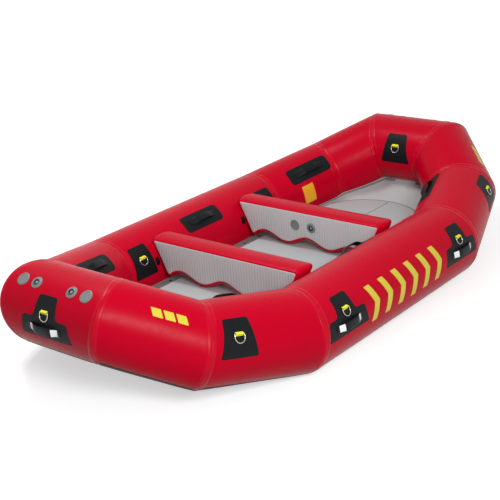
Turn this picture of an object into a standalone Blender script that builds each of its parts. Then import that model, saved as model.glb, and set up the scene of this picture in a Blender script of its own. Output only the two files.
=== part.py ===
"""Whitewater raft: a ring of twelve inflated tube panels, a laced-in inflatable floor, two
inflated cross thwarts, webbing-held lashing rings, grab handles and air valves.

Metres, +Z up. +X is the bow, +Y is port. The origin is on the ground under the middle of the raft.
"""
import math

import bmesh
import bpy
from mathutils import Matrix, Vector

# Hull: the tube's centre line runs from the side over the kick and the corner to the end
HULL_WIDTH = 1.923
SIDE_RADIUS = 0.232
KICK_RADIUS = 0.2238
END_RADIUS = 0.2203
SIDE_LENGTH = 1.5206
KICK_RUN = 0.5763
KICK_INSET = 0.1863
KICK_RISE = 0.110
CORNER_RUN = 0.2731
CORNER_RISE = 0.1676
END_WIDTH = 0.4938
TUBE_FACETS = 36
FABRIC = 0.0013
GAP = 0.0003
OVERRUN = 0.2

# Patches: glued to a tube, sized along it and round it, with v counted from the ring's bar
PATCH_THICKNESS = 0.0015
PATCH_CORNER = 0.014
TOW_WING_HALF = 0.147
TOW_FOOT_HALF = 0.175
TOW_STEM_HALF = 0.0615
TOW_STEM_TOP = 0.084
TOW_WING_TOP = -0.025
TOW_FOOT = -0.141
RING_PATCH_TOP_HALF = 0.068
RING_PATCH_FOOT_HALF = 0.107
INNER_PATCH_FOOT_HALF = 0.089
RING_PATCH_TOP = 0.089
RING_PATCH_FOOT = -0.114
GRAB_PATCH_HALF_LENGTH = 0.1645
GRAB_PATCH_HALF_WIDTH = 0.056

# Where the patches sit: distances along a tube and angles above the horizontal
SIDE_PATCH_FROM_JOINT = 0.1633
INNER_PATCH_FROM_JOINT = 0.1548
KICK_PATCH_FROM_CORNER = 0.116
KICK_GRAB_FROM_SIDE = 0.365
SIDE_BAR_DEGREES = 30.0
KICK_BAR_DEGREES = 30.0
END_BAR_DEGREES = 20.0
INNER_SIDE_BAR_DEGREES = 30.0
INNER_END_BAR_DEGREES = 20.0
GRAB_SIDE_DEGREES = 48.0
GRAB_KICK_DEGREES = 44.5

# Lashing ring and the webbing loop that holds its bar
WIRE_RADIUS = 0.003
RING_HALF_WIDTH = 0.0285
RING_LEG = 0.018
RING_BEND = 0.0042
RING_CLEARANCE = 0.0004
RING_REST_DEGREES = 5.0
LOOP_HALF_WIDTH = 0.0238
LOOP_HALF_DEPTH = 0.013
LOOP_WALL = 0.0015

# Carrying handle: a strap that arches off its patch
STRAP_THICKNESS = 0.003
STRAP_HALF_WIDTH = 0.015
STRAP_RISE = 0.024
STRAP_HALF_SPAN = 0.070
STRAP_RAMP = 0.030
RAMP_SHARES = (0.25, 0.5, 0.75, 1.0)
STRAP_TAB = 0.028
STRAP_SINK = 0.0008
TOW_STRAP_DROP = 0.0856

# Air valves, turned about the axis that points out of the skin
VALVE_FACETS = 16
VALVE_ELEVATION_DEGREES = 54.8
VALVE_FROM_CENTRE = 0.1257
RELIEF_FROM_CENTRE = 0.2266
FLANGE_RADIUS = 0.0385
FLANGE_PROUD = 0.004
FLANGE_SUNK = 0.0055
BARREL_RADIUS = 0.021
BARREL_DEPTH = 0.032
BARREL_FLOOR = 0.004
WELL_RADIUS = 0.0165
STEM_RADIUS = 0.0042
STEM_CLEARANCE = 0.0003
PLUNGER_HEAD_RADIUS = 0.0095
PLUNGER_HEAD_THICKNESS = 0.003
PLUNGER_RECESS = 0.003
SEAL_RADIUS = 0.011
SEAL_THICKNESS = 0.003
RELIEF_RADIUS = 0.040
RELIEF_RIM = 0.003
RELIEF_VENT_RADIUS = 0.004

# Floor: an inflated panel and the fabric skirt that laces it to the tubes
FLOOR_TOP = 0.178
FLOOR_THICKNESS = 0.115
FLOOR_TO_TUBE_CENTRE = 0.2995
FLOOR_SHOULDER_RUN = 0.26
FLOOR_SHOULDER_INSET = 0.06
FLOOR_RISE = 0.027
FLOOR_EDGE_ROUND = 0.020
FLOOR_EDGE_PROFILE_SHARE = 0.5
FLOOR_VALVE_RUN = 0.39
SKIRT_THICKNESS = 0.002
SKIRT_DROP = 0.022
SKIRT_LIFT = 0.0035
SKIRT_SIDE_DEGREES = -19.0
SKIRT_CORNER_DEGREES = -34.0
SKIRT_END_DEGREES = -69.0

# Thwarts: upright inflated panels across the raft, flat faces with a bulged band round them
THWART_THICKNESS = 0.156
THWART_FROM_JOINT = 0.349
THWART_TOP_DROP = 0.04283
THWART_END_LEAN_SHARE = 0.494242
THWART_END_BAND = 0.02643
THWART_FOOT_BAND = 0.033
THWART_BULGE = 0.024
THWART_CORNER = 0.022
THWART_ARCH_PITCH = 0.333
THWART_ARCH_HEIGHT = 0.050
THWART_VALVE_Y = -0.041
THWART_RELIEF_Y = 0.0855
THWART_VALVE_DROP = 0.0859

UP = Vector((0.0, 0.0, 1.0))
SIDE_Y = HULL_WIDTH / 2 - SIDE_RADIUS
SIDE_Z = SIDE_RADIUS * math.cos(math.pi / TUBE_FACETS)
FACET = 2 * math.pi / TUBE_FACETS
APOTHEM_SHARE = math.cos(FACET / 2)
BAR_HEIGHT = PATCH_THICKNESS + LOOP_WALL + RING_CLEARANCE + WIRE_RADIUS
FLOOR_HALF_WIDTH = SIDE_Y - FLOOR_TO_TUBE_CENTRE
FLOOR_STRAIGHT = SIDE_LENGTH / 2 - GAP
FLOOR_SHOULDER_X = FLOOR_STRAIGHT + FLOOR_SHOULDER_RUN
FLOOR_SHOULDER_HALF = FLOOR_HALF_WIDTH - FLOOR_SHOULDER_INSET
FLOOR_END_REACH = KICK_RUN - FLOOR_SHOULDER_RUN - GAP
THWART_X = SIDE_LENGTH / 2 - THWART_FROM_JOINT
THWART_FACE_TOP = 2 * SIDE_Z - THWART_TOP_DROP
THWART_LOBE_FOOT = FLOOR_TOP + THWART_FOOT_BAND


# Scene and materials
def clear_scene():
    for old in list(bpy.data.objects):
        bpy.data.objects.remove(old, do_unlink=True)


def new_collection(name):
    collection = bpy.data.collections.new(name)
    bpy.context.scene.collection.children.link(collection)
    return collection


def new_material(name, colour, roughness, metallic=0.0):
    material = bpy.data.materials.new(name)
    material.use_nodes = True
    shader = material.node_tree.nodes["Principled BSDF"]
    shader.inputs["Base Color"].default_value = (*colour, 1.0)
    shader.inputs["Roughness"].default_value = roughness
    shader.inputs["Metallic"].default_value = metallic
    return material


def mesh_from(bm, name):
    """Turns a bmesh into a mesh whose faces point out."""
    bm.normal_update()
    bmesh.ops.recalc_face_normals(bm, faces=bm.faces)
    mesh = bpy.data.meshes.new(name)
    bm.to_mesh(mesh)
    bm.free()
    return mesh


def add_object(collection, name, data, material=None):
    piece = bpy.data.objects.new(name, data)
    collection.objects.link(piece)
    if material:
        data.materials.append(material)
    return piece


def add_guide(collection, name, data):
    """An operand of a Boolean: it is used, but it is no part of the raft."""
    guide = add_object(collection, name, data)
    guide.hide_render = True
    guide.display_type = "WIRE"
    return guide


def add_boolean(piece, operand, operation):
    modifier = piece.modifiers.new(operation.title(), "BOOLEAN")
    modifier.operation = operation
    modifier.object = operand
    modifier.solver = "EXACT"
    return modifier


def smooth(mesh, degrees=30.0):
    mesh.shade_smooth()
    mesh.set_sharp_from_angle(angle=math.radians(degrees))


# Hull tubes
class Panel:
    """One straight, slightly tapered length of tube between two mitred joints."""

    def __init__(self, name, start, end):
        self.name = name
        self.start, self.start_radius = start
        self.end, self.end_radius = end
        self.length = (self.end - self.start).length
        self.axis = (self.end - self.start) / self.length
        self.up = (UP - self.axis * self.axis.z).normalized()
        self.out = self.axis.cross(self.up)
        middle = (self.start + self.end) / 2
        if self.out.dot(Vector((middle.x, middle.y, 0.0))) < 0:
            self.out.negate()
        self.mitres = []

    def radius_at(self, along):
        return self.start_radius + (self.end_radius - self.start_radius) * along / self.length

    def normal(self, facing, angle):
        """Direction out of the surface; facing is 1 on the outside of the ring and -1 inside."""
        return self.out * (facing * math.cos(angle)) + self.up * math.sin(angle)

    def point(self, facing, along, angle, height=0.0):
        """Place on the tube's faceted skin, or at a height off the facet that the angle is on."""
        off_middle = angle - FACET * round(angle / FACET)
        radius = (self.radius_at(along) * APOTHEM_SHARE + height) / math.cos(off_middle)
        return self.start + self.axis * along + self.normal(facing, angle) * radius


def joint_ring():
    """Centres and radii of the twelve joints, from the bow's starboard side round by the bow."""
    side = (SIDE_LENGTH / 2, SIDE_Y, SIDE_Z, SIDE_RADIUS)
    kick = (side[0] + KICK_RUN, SIDE_Y - KICK_INSET, SIDE_Z + KICK_RISE, KICK_RADIUS)
    end = (kick[0] + CORNER_RUN, END_WIDTH / 2, kick[2] + CORNER_RISE, END_RADIUS)
    ring = []
    for sign_x, sign_y, joints in ((1, -1, (side, kick, end)), (1, 1, (end, kick, side)),
                                   (-1, 1, (side, kick, end)), (-1, -1, (end, kick, side))):
        for x, y, z, radius in joints:
            ring.append((Vector((sign_x * x, sign_y * y, z)), radius))
    return ring


def make_panels():
    """Panels keyed by name. Kicks start at the side, corners at the kick, ends at starboard."""
    ring = joint_ring()
    names = ("kick_bow_starboard", "corner_bow_starboard", "bow", "corner_bow_port", "kick_bow_port",
             "side_port", "kick_stern_port", "corner_stern_port", "stern", "corner_stern_starboard",
             "kick_stern_starboard", "side_starboard")
    turned = ("corner_bow_port", "kick_bow_port", "side_port", "stern", "corner_stern_starboard",
              "kick_stern_starboard")
    count = len(ring)
    planes = []
    for index, (centre, _) in enumerate(ring):
        before = (centre - ring[index - 1][0]).normalized()
        after = (ring[(index + 1) % count][0] - centre).normalized()
        planes.append((centre, (before + after).normalized()))
    panels = {}
    for index, name in enumerate(names):
        first, second = index, (index + 1) % count
        if name in turned:
            first, second = second, first
        panel = Panel(name, ring[first], ring[second])
        panel.mitres = [planes[first], planes[second]]
        panels[name] = panel
    return panels


def edge_gap(one, other):
    return (one.verts[0].co + one.verts[1].co - other.verts[0].co - other.verts[1].co).length


def close_strip(bm, edge, partner):
    """Face between two edges that lie side by side, unless it is there already."""
    first, second = edge.verts
    third, fourth = partner.verts
    if (second.co - third.co).length > (second.co - fourth.co).length:
        third, fourth = fourth, third
    corners = (first, second, third, fourth)
    if not bm.faces.get(corners):
        bm.faces.new(corners)


def sleeve_mesh(panel):
    """Fabric tube of one panel, open at both ends and cut to its mitres."""
    bm = bmesh.new()
    across = panel.up.cross(panel.axis)
    middle = (panel.start + panel.end) / 2
    place = Matrix.Translation(middle) @ Matrix((across, panel.up, panel.axis)).transposed().to_4x4()
    place = place @ Matrix.Rotation(math.pi / TUBE_FACETS, 4, "Z")
    for inset in (0.0, FABRIC):
        bmesh.ops.create_cone(bm, cap_ends=False, segments=TUBE_FACETS,
                              radius1=panel.radius_at(-OVERRUN) - inset,
                              radius2=panel.radius_at(panel.length + OVERRUN) - inset,
                              depth=panel.length + 2 * OVERRUN, matrix=place)
    for centre, direction in panel.mitres:
        away = direction if direction.dot(centre - middle) > 0 else -direction
        everything = bm.verts[:] + bm.edges[:] + bm.faces[:]
        bmesh.ops.bisect_plane(bm, geom=everything, plane_co=centre - away * (GAP / 2),
                               plane_no=away, clear_outer=True)
    rims = [edge for edge in bm.edges if edge.is_boundary]
    for edge in rims:
        partner = min((other for other in rims if other is not edge and not set(other.verts) & set(edge.verts)),
                      key=lambda other: edge_gap(edge, other))
        close_strip(bm, edge, partner)
    return mesh_from(bm, "tube_" + panel.name)


def baffle_mesh(panel):
    """Fabric wall that parts two air chambers, its rim inside the tube's wall."""
    bm = bmesh.new()
    across = panel.up.cross(panel.axis)
    middle = (panel.start + panel.end) / 2
    place = Matrix.Translation(middle) @ Matrix((across, panel.up, panel.axis)).transposed().to_4x4()
    place = place @ Matrix.Rotation(math.pi / TUBE_FACETS, 4, "Z")
    radius = panel.radius_at(panel.length / 2) - FABRIC / 2
    bmesh.ops.create_cone(bm, cap_ends=True, segments=TUBE_FACETS, radius1=radius, radius2=radius,
                          depth=FABRIC, matrix=place)
    return mesh_from(bm, "baffle_" + panel.name)


# Turned pieces
def turned(collection, name, profile, frame):
    """A solid of revolution about the frame's Z axis, from a closed profile of radius and height."""
    bm = bmesh.new()
    verts = [bm.verts.new((radius, 0.0, height)) for radius, height in profile]
    for first, second in zip(verts, verts[1:] + verts[:1]):
        if first.co.x > 0 or second.co.x > 0:
            bm.edges.new((first, second))
    mesh = bpy.data.meshes.new(name)
    bm.to_mesh(mesh)
    bm.free()
    piece = bpy.data.objects.new(name, mesh)
    collection.objects.link(piece)
    piece.matrix_world = frame
    screw = piece.modifiers.new("Screw", "SCREW")
    screw.steps = VALVE_FACETS
    screw.render_steps = VALVE_FACETS
    screw.use_merge_vertices = True
    screw.merge_threshold = GAP / 10
    screw.use_smooth_shade = True
    return piece


def valve_body_profile():
    """Flange, well and pierced floor, down the outside and back up the well."""
    hole = STEM_RADIUS + STEM_CLEARANCE
    return [(FLANGE_RADIUS, FLANGE_PROUD / 2), (FLANGE_RADIUS, -FLANGE_SUNK),
            (BARREL_RADIUS, -FLANGE_SUNK), (BARREL_RADIUS, -BARREL_DEPTH), (hole, -BARREL_DEPTH),
            (hole, BARREL_FLOOR - BARREL_DEPTH), (WELL_RADIUS, BARREL_FLOOR - BARREL_DEPTH),
            (WELL_RADIUS, FLANGE_PROUD), (FLANGE_RADIUS - FLANGE_PROUD / 2, FLANGE_PROUD)]


def skin_hole_profile():
    radius = (WELL_RADIUS + BARREL_RADIUS) / 2
    return [(radius, BARREL_DEPTH), (radius, -BARREL_DEPTH), (0.0, -BARREL_DEPTH), (0.0, BARREL_DEPTH)]


def relief_body_profile(vent):
    """Low grille cap. A vent leaves a bore through it where it opens an air space."""
    return [(RELIEF_RADIUS, FLANGE_PROUD - RELIEF_RIM), (RELIEF_RADIUS, -FLANGE_SUNK),
            (vent, -FLANGE_SUNK), (vent, FLANGE_PROUD), (RELIEF_RADIUS - RELIEF_RIM, FLANGE_PROUD)]


def plunger_profile():
    """Push button in the well, its stem through the valve's floor and the seal under it."""
    head_top = -PLUNGER_RECESS
    head_under = head_top - PLUNGER_HEAD_THICKNESS
    seal_top = -BARREL_DEPTH - GAP
    return [(PLUNGER_HEAD_RADIUS, head_top), (PLUNGER_HEAD_RADIUS, head_under),
            (STEM_RADIUS, head_under), (STEM_RADIUS, seal_top), (SEAL_RADIUS, seal_top),
            (SEAL_RADIUS, seal_top - SEAL_THICKNESS), (0.0, seal_top - SEAL_THICKNESS), (0.0, head_top)]


def frame_at(origin, normal, along):
    """Frame whose Z axis is the normal and whose X axis is as near to along as it can be."""
    side = normal.cross(along).normalized()
    forward = side.cross(normal).normalized()
    axes = Matrix((forward, side, normal)).transposed().to_4x4()
    return Matrix.Translation(origin) @ axes


def fit_valve(piece, guides, tag, frame):
    """Cuts the skin and joins a valve body into it."""
    add_boolean(piece, guide_turned(guides, "hole_" + tag, skin_hole_profile(), frame), "DIFFERENCE")
    add_boolean(piece, guide_turned(guides, "valve_body_" + tag, valve_body_profile(), frame), "UNION")


def guide_turned(guides, name, profile, frame):
    guide = turned(guides, name, profile, frame)
    guide.hide_render = True
    guide.display_type = "WIRE"
    return guide


# Flat pieces that are wrapped round a tube
def extruded(points, order, low, high):
    """Prism of a closed outline. order gives the axes of the outline's two values and its depth."""
    bm = bmesh.new()
    verts = []
    for first, second in points:
        place = Vector()
        place[order[0]], place[order[1]], place[order[2]] = first, second, low
        verts.append(bm.verts.new(place))
    face = bm.faces.new(verts)
    grown = bmesh.ops.extrude_face_region(bm, geom=[face])
    depth = Vector()
    depth[order[2]] = high - low
    bmesh.ops.translate(bm, vec=depth, verts=[v for v in grown["geom"] if isinstance(v, bmesh.types.BMVert)])
    return mesh_from(bm, "prism")


def rounded(corners, radius, steps=2):
    """A polygon with each corner replaced by an arc of a few points."""
    points = []
    count = len(corners)
    for index in range(count):
        here = Vector(corners[index])
        back = (Vector(corners[index - 1]) - here).normalized()
        ahead = (Vector(corners[(index + 1) % count]) - here).normalized()
        half = back.angle(ahead) / 2
        reach = radius / math.tan(half)
        centre = here + (back + ahead).normalized() * (radius / math.sin(half))
        first = (here + back * reach - centre).normalized()
        last = (here + ahead * reach - centre).normalized()
        for step in range(steps + 1):
            points.append(tuple(centre + first.slerp(last, step / steps) * radius))
    return points


def combined(collection, base, extras):
    """Boolean result of a base mesh with (mesh, operation) pairs, as a new mesh."""
    body = add_object(collection, "flat_base", base)
    helpers = []
    for mesh, operation in extras:
        helper = add_object(collection, "flat_extra", mesh)
        helpers.append(helper)
        add_boolean(body, helper, operation)
    graph = bpy.context.evaluated_depsgraph_get()
    result = bpy.data.meshes.new_from_object(body.evaluated_get(graph))
    for helper in helpers + [body]:
        bpy.data.objects.remove(helper, do_unlink=True)
    return result


def strap_profile():
    """Side view of the arched strap: flat tabs, ramps and a level grip, as length and height."""
    half = STRAP_HALF_SPAN + STRAP_TAB
    base = PATCH_THICKNESS - STRAP_SINK
    lower = [(-half, base), (-STRAP_HALF_SPAN, base)]
    for share in RAMP_SHARES:
        rise = STRAP_RISE * (1 - math.cos(math.pi * share)) / 2
        lower.append((-STRAP_HALF_SPAN + STRAP_RAMP * share, base + rise))
    lower += [(-x, z) for x, z in reversed(lower)]
    upper = [(x, z + STRAP_THICKNESS) for x, z in lower]
    return lower + upper[::-1]


def loop_profile():
    """Cross-section of the webbing that goes over the ring's bar, as distance and height."""
    top = BAR_HEIGHT + WIRE_RADIUS + RING_CLEARANCE + LOOP_WALL
    base = PATCH_THICKNESS / 2
    return [(-LOOP_HALF_DEPTH, base), (LOOP_HALF_DEPTH, base), (LOOP_HALF_DEPTH, PATCH_THICKNESS + LOOP_WALL),
            (LOOP_HALF_DEPTH / 2, top - LOOP_WALL / 2), (LOOP_HALF_DEPTH / 4, top),
            (-LOOP_HALF_DEPTH / 4, top), (-LOOP_HALF_DEPTH / 2, top - LOOP_WALL / 2),
            (-LOOP_HALF_DEPTH, PATCH_THICKNESS + LOOP_WALL)]


def bar_hole_profile():
    """Clearance hole for the bar, as a twelve-sided outline round the bar's centre."""
    sides = 12
    radius = (WIRE_RADIUS + RING_CLEARANCE) / math.cos(math.pi / sides)
    return [(radius * math.cos(2 * math.pi * k / sides), BAR_HEIGHT + radius * math.sin(2 * math.pi * k / sides))
            for k in range(sides)]


def ring_patch_flat(guides, corners, strap_drop=None):
    """Patch with its webbing loop, and with a carrying strap where it has one, before wrapping."""
    base = extruded(rounded(corners, PATCH_CORNER), (0, 1, 2), 0.0, PATCH_THICKNESS)
    extras = [(extruded(loop_profile(), (1, 2, 0), -LOOP_HALF_WIDTH, LOOP_HALF_WIDTH), "UNION"),
              (extruded(bar_hole_profile(), (1, 2, 0), -RING_HALF_WIDTH, RING_HALF_WIDTH), "DIFFERENCE")]
    if strap_drop:
        strap = extruded(strap_profile(), (0, 2, 1), -strap_drop - STRAP_HALF_WIDTH, STRAP_HALF_WIDTH - strap_drop)
        extras.append((strap, "UNION"))
    return combined(guides, base, extras)


def grab_patch_flat(guides):
    corners = [(-GRAB_PATCH_HALF_LENGTH, -GRAB_PATCH_HALF_WIDTH), (GRAB_PATCH_HALF_LENGTH, -GRAB_PATCH_HALF_WIDTH),
               (GRAB_PATCH_HALF_LENGTH, GRAB_PATCH_HALF_WIDTH), (-GRAB_PATCH_HALF_LENGTH, GRAB_PATCH_HALF_WIDTH)]
    base = extruded(rounded(corners, PATCH_CORNER), (0, 1, 2), 0.0, PATCH_THICKNESS)
    strap = extruded(strap_profile(), (0, 2, 1), -STRAP_HALF_WIDTH, STRAP_HALF_WIDTH)
    return combined(guides, base, [(strap, "UNION")])


def wrapped(name, flat, panel, facing, along, degrees):
    """Folds a flat patch round a tube's facets, its origin at a place and an angle on that tube."""
    bm = bmesh.new()
    bm.from_mesh(flat)
    radius = panel.radius_at(along)
    turn = math.radians(degrees)
    low = turn + min(v.co.y for v in bm.verts) / radius
    high = turn + max(v.co.y for v in bm.verts) / radius
    for index in range(math.floor(low / FACET), math.ceil(high / FACET) + 1):
        fold = ((index + 0.5) * FACET - turn) * radius
        everything = bm.verts[:] + bm.edges[:] + bm.faces[:]
        bmesh.ops.bisect_plane(bm, geom=everything, plane_co=(0.0, fold, 0.0), plane_no=(0.0, 1.0, 0.0))
    for vert in bm.verts:
        angle = turn + vert.co.y / radius
        vert.co = panel.point(facing, along + vert.co.x, angle, GAP + vert.co.z)
    return mesh_from(bm, name)


# Lashing rings
def bar_frame(panel, facing, along, degrees):
    """Frame at the middle of a ring's bar: X along the bar, Y up the tube, Z out of it."""
    angle = math.radians(degrees)
    height = GAP + BAR_HEIGHT
    one = panel.point(facing, along - LOOP_HALF_WIDTH, angle, height)
    two = panel.point(facing, along + LOOP_HALF_WIDTH, angle, height)
    normal = panel.normal(facing, angle)
    upward = panel.normal(facing, angle + math.pi / 2)
    bar = (two - one).normalized()
    if bar.dot(upward.cross(normal)) < 0:
        bar.negate()
    normal = bar.cross(upward).normalized()
    upward = normal.cross(bar)
    return Matrix.Translation((one + two) / 2) @ Matrix((bar, upward, normal)).transposed().to_4x4()


def ring_points():
    """Centre line of the D-shaped ring in its own plane, the bar on X and the bow towards -Y."""
    points = []
    for side in (1, -1):
        corner = []
        for share in (0.0, 0.5, 1.0):
            turn = math.pi / 2 * share
            corner.append((side * (RING_HALF_WIDTH - RING_BEND + RING_BEND * math.sin(turn)),
                           RING_BEND * (math.cos(turn) - 1)))
        points += corner if side == 1 else corner[::-1]
        if side == 1:
            arcs = 7
            for k in range(arcs + 1):
                turn = math.pi * k / arcs
                points.append((RING_HALF_WIDTH * math.cos(turn), -RING_LEG - RING_HALF_WIDTH * math.sin(turn)))
    return points


def ring_curve(name):
    curve = bpy.data.curves.new(name, "CURVE")
    curve.dimensions = "3D"
    curve.bevel_depth = WIRE_RADIUS
    curve.bevel_resolution = 1
    spline = curve.splines.new("POLY")
    points = ring_points()
    spline.points.add(len(points) - 1)
    for target, (x, y) in zip(spline.points, points):
        target.co = (x, y, 0.0, 1.0)
    spline.use_cyclic_u = True
    spline.use_smooth = True
    return curve


# Floor
def floor_rise(x):
    """How far the floor lifts towards the ends, eased in over the kick."""
    share = (abs(x) - FLOOR_STRAIGHT) / (FLOOR_SHOULDER_X - FLOOR_STRAIGHT)
    share = min(max(share, 0.0), 1.0)
    return FLOOR_RISE * share * share * (3 - 2 * share)


def floor_quadrant(grow=0.0):
    """Outline of a quarter of the floor panel, from midship to the end, grown sideways."""
    points = [(0.0, FLOOR_HALF_WIDTH), (FLOOR_STRAIGHT / 2, FLOOR_HALF_WIDTH), (FLOOR_STRAIGHT, FLOOR_HALF_WIDTH),
              ((FLOOR_STRAIGHT + FLOOR_SHOULDER_X) / 2, (FLOOR_HALF_WIDTH + FLOOR_SHOULDER_HALF) / 2)]
    points = [(x, y + grow) for x, y in points]
    arcs = 5
    for k in range(arcs + 1):
        turn = math.pi / 2 * k / arcs
        points.append((FLOOR_SHOULDER_X + (FLOOR_END_REACH + grow) * math.sin(turn),
                       (FLOOR_SHOULDER_HALF + grow) * math.cos(turn)))
    return points


def mirrored_loop(quadrant):
    """Closed loop from a quarter that starts on the Y plane and ends on the X plane."""
    back = quadrant[::-1][1:]
    half = quadrant + [tuple([p[0], -p[1], *p[2:]]) for p in back]
    other = [tuple([-p[0], p[1], *p[2:]]) for p in half[::-1][1:-1]]
    return half + other


def floor_mesh():
    bm = bmesh.new()
    verts = [bm.verts.new((x, y, FLOOR_TOP)) for x, y in mirrored_loop(floor_quadrant())]
    face = bm.faces.new(verts)
    grown = bmesh.ops.extrude_face_region(bm, geom=[face])
    bmesh.ops.translate(bm, vec=(0.0, 0.0, -FLOOR_THICKNESS),
                        verts=[v for v in grown["geom"] if isinstance(v, bmesh.types.BMVert)])
    bmesh.ops.recalc_face_normals(bm, faces=bm.faces)
    rims = [e for e in bm.edges if abs(e.verts[0].co.z - e.verts[1].co.z) < GAP]
    bmesh.ops.bevel(bm, geom=rims, offset=FLOOR_EDGE_ROUND, offset_type="OFFSET", segments=2,
                    profile=FLOOR_EDGE_PROFILE_SHARE, affect="EDGES")
    steps = 3
    for side in (1, -1):
        for k in range(steps + 1):
            x = side * (FLOOR_STRAIGHT + (FLOOR_SHOULDER_X - FLOOR_STRAIGHT) * k / steps)
            everything = bm.verts[:] + bm.edges[:] + bm.faces[:]
            bmesh.ops.bisect_plane(bm, geom=everything, dist=GAP / 10, plane_co=(x, 0.0, 0.0),
                                   plane_no=(1.0, 0.0, 0.0))
    for vert in bm.verts:
        vert.co.z += floor_rise(vert.co.x)
    return mesh_from(bm, "floor_panel")


def off_tubes(place, panels, lift):
    """Moves a point out of every tube that it is in, to a lift above the skin."""
    place = Vector(place)
    for _ in range(4):
        for panel in panels.values():
            along = (place - panel.start).dot(panel.axis)
            if -panel.start_radius < along < panel.length + panel.end_radius:
                radial = place - panel.start - panel.axis * along
                short = panel.radius_at(along) + lift - radial.length
                if short > 0:
                    place += radial.normalized() * short
    return place


def skirt_quadrant(panels):
    """Outer edge of the skirt on the port bow quarter, one point for each point of the floor."""
    side, kick = panels["side_port"], panels["kick_bow_port"]
    corner, bow = panels["corner_bow_port"], panels["bow"]
    place_shares = [(side, 0.5, 0.0), (side, 0.75, 0.0), (side, 0.965, 0.0), (kick, 0.28, 0.3),
                    (kick, 0.54, 0.6), (kick, 0.84, 0.9), (corner, 0.14, 1.14), (corner, 0.46, 1.46),
                    (corner, 0.84, 1.84), (bow, 0.5, 2.0)]
    turns = (SKIRT_SIDE_DEGREES, SKIRT_CORNER_DEGREES, SKIRT_END_DEGREES)
    points = []
    for panel, share, stage in place_shares:
        first = min(int(stage), 1)
        degrees = turns[first] + (turns[first + 1] - turns[first]) * (stage - first)
        place = panel.point(-1, panel.length * share, math.radians(degrees), SKIRT_LIFT)
        points.append(tuple(off_tubes(place, panels, SKIRT_LIFT)))
    points[0] = (0.0, *points[0][1:])
    points[-1] = (points[-1][0], 0.0, points[-1][2])
    return points


def skirt_mesh(panels):
    """Open sheet between the floor panel's edge and the tubes; Solidify gives it its thickness."""
    inner = [(x, y, FLOOR_TOP - SKIRT_DROP + floor_rise(x)) for x, y in floor_quadrant(GAP)]
    bm = bmesh.new()
    loops = []
    for quadrant in (inner, skirt_quadrant(panels)):
        verts = [bm.verts.new(p) for p in mirrored_loop(quadrant)]
        loops += [bm.edges.new((a, b)) for a, b in zip(verts, verts[1:] + verts[:1])]
    bmesh.ops.bridge_loops(bm, edges=loops)
    bmesh.ops.recalc_face_normals(bm, faces=bm.faces)
    if sum(face.normal.z for face in bm.faces) < 0:
        bmesh.ops.reverse_faces(bm, faces=bm.faces)
    mesh = bpy.data.meshes.new("floor_skirt")
    bm.to_mesh(mesh)
    bm.free()
    return mesh


# Thwarts
def thwart_wave(y):
    """Height of the face's lower edge: arches at the middle and at one pitch to each side."""
    return THWART_LOBE_FOOT + THWART_ARCH_HEIGHT * (1 + math.cos(2 * math.pi * y / THWART_ARCH_PITCH)) / 2


def thwart_outlines():
    """Half outlines of the flat face and of the band's crest, from the top's middle to the foot's."""
    crest_top = THWART_FACE_TOP + THWART_BULGE
    foot_drop = THWART_LOBE_FOOT - FLOOR_TOP - GAP
    slope = math.atan(THWART_END_LEAN_SHARE)
    touch = SIDE_RADIUS + GAP
    touch_y = SIDE_Y - touch * math.cos(slope)
    touch_z = SIDE_Z + touch * math.sin(slope)

    def crest_end(z):
        return touch_y + (z - touch_z) * THWART_END_LEAN_SHARE

    top_half = crest_end(THWART_FACE_TOP) - THWART_END_BAND
    foot_half = crest_end(THWART_LOBE_FOOT) - THWART_END_BAND
    face = [(0.0, THWART_FACE_TOP), (top_half - THWART_CORNER, THWART_FACE_TOP),
            (top_half - THWART_CORNER / 3, THWART_FACE_TOP - THWART_CORNER / 4)]
    crest = [(0.0, crest_top), (crest_end(crest_top) - THWART_CORNER, crest_top),
             (crest_end(crest_top) - THWART_CORNER / 3, crest_top - THWART_CORNER / 4)]
    ends = 4
    for k in range(ends + 1):
        share = k / ends
        face_z = THWART_FACE_TOP - THWART_CORNER + (THWART_CORNER - THWART_FACE_TOP + THWART_LOBE_FOOT) * share
        crest_z = crest_top - THWART_CORNER + (THWART_CORNER - crest_top + FLOOR_TOP + THWART_BULGE) * share
        face.append((crest_end(face_z) - THWART_END_BAND, face_z))
        crest.append((crest_end(crest_z), crest_z))
    waves = 12
    reach = foot_half - THWART_CORNER / 2
    for k in range(waves + 1):
        y = reach * (1 - k / waves)
        face.append((y, thwart_wave(y)))
        crest.append((y, thwart_wave(y) - foot_drop))
    return face, crest


def thwart_mesh():
    """Loft through sections from one flat face over the bulged band to the other."""
    face, crest = thwart_outlines()
    bm = bmesh.new()
    sections = 4
    loops = []
    for k in range(sections + 1):
        turn = math.pi * k / sections
        half = [(f[0] + (c[0] - f[0]) * math.sin(turn), f[1] + (c[1] - f[1]) * math.sin(turn))
                for f, c in zip(face, crest)]
        outline = half + [(-y, z) for y, z in half[::-1][1:-1]]
        loops.append([bm.verts.new((THWART_THICKNESS / 2 * math.cos(turn), y, z)) for y, z in outline])
    for first, second in zip(loops, loops[1:]):
        edges = []
        for loop in (first, second):
            for a, b in zip(loop, loop[1:] + loop[:1]):
                edges.append(bm.edges.get((a, b)) or bm.edges.new((a, b)))
        bmesh.ops.bridge_loops(bm, edges=edges)
    bm.faces.new(loops[0])
    bm.faces.new(loops[-1])
    return mesh_from(bm, "thwart")


# Assembly
def build_tubes(panels, parts, guides, red):
    tubes = {}
    for name, panel in panels.items():
        mesh = sleeve_mesh(panel)
        smooth(mesh)
        tubes[name] = add_object(parts, "tube_" + name, mesh, red)
    for name in ("side_port", "side_starboard", "bow", "stern"):
        guide = add_guide(guides, "baffle_" + name, baffle_mesh(panels[name]))
        add_boolean(tubes[name], guide, "UNION")
    return tubes


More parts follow.
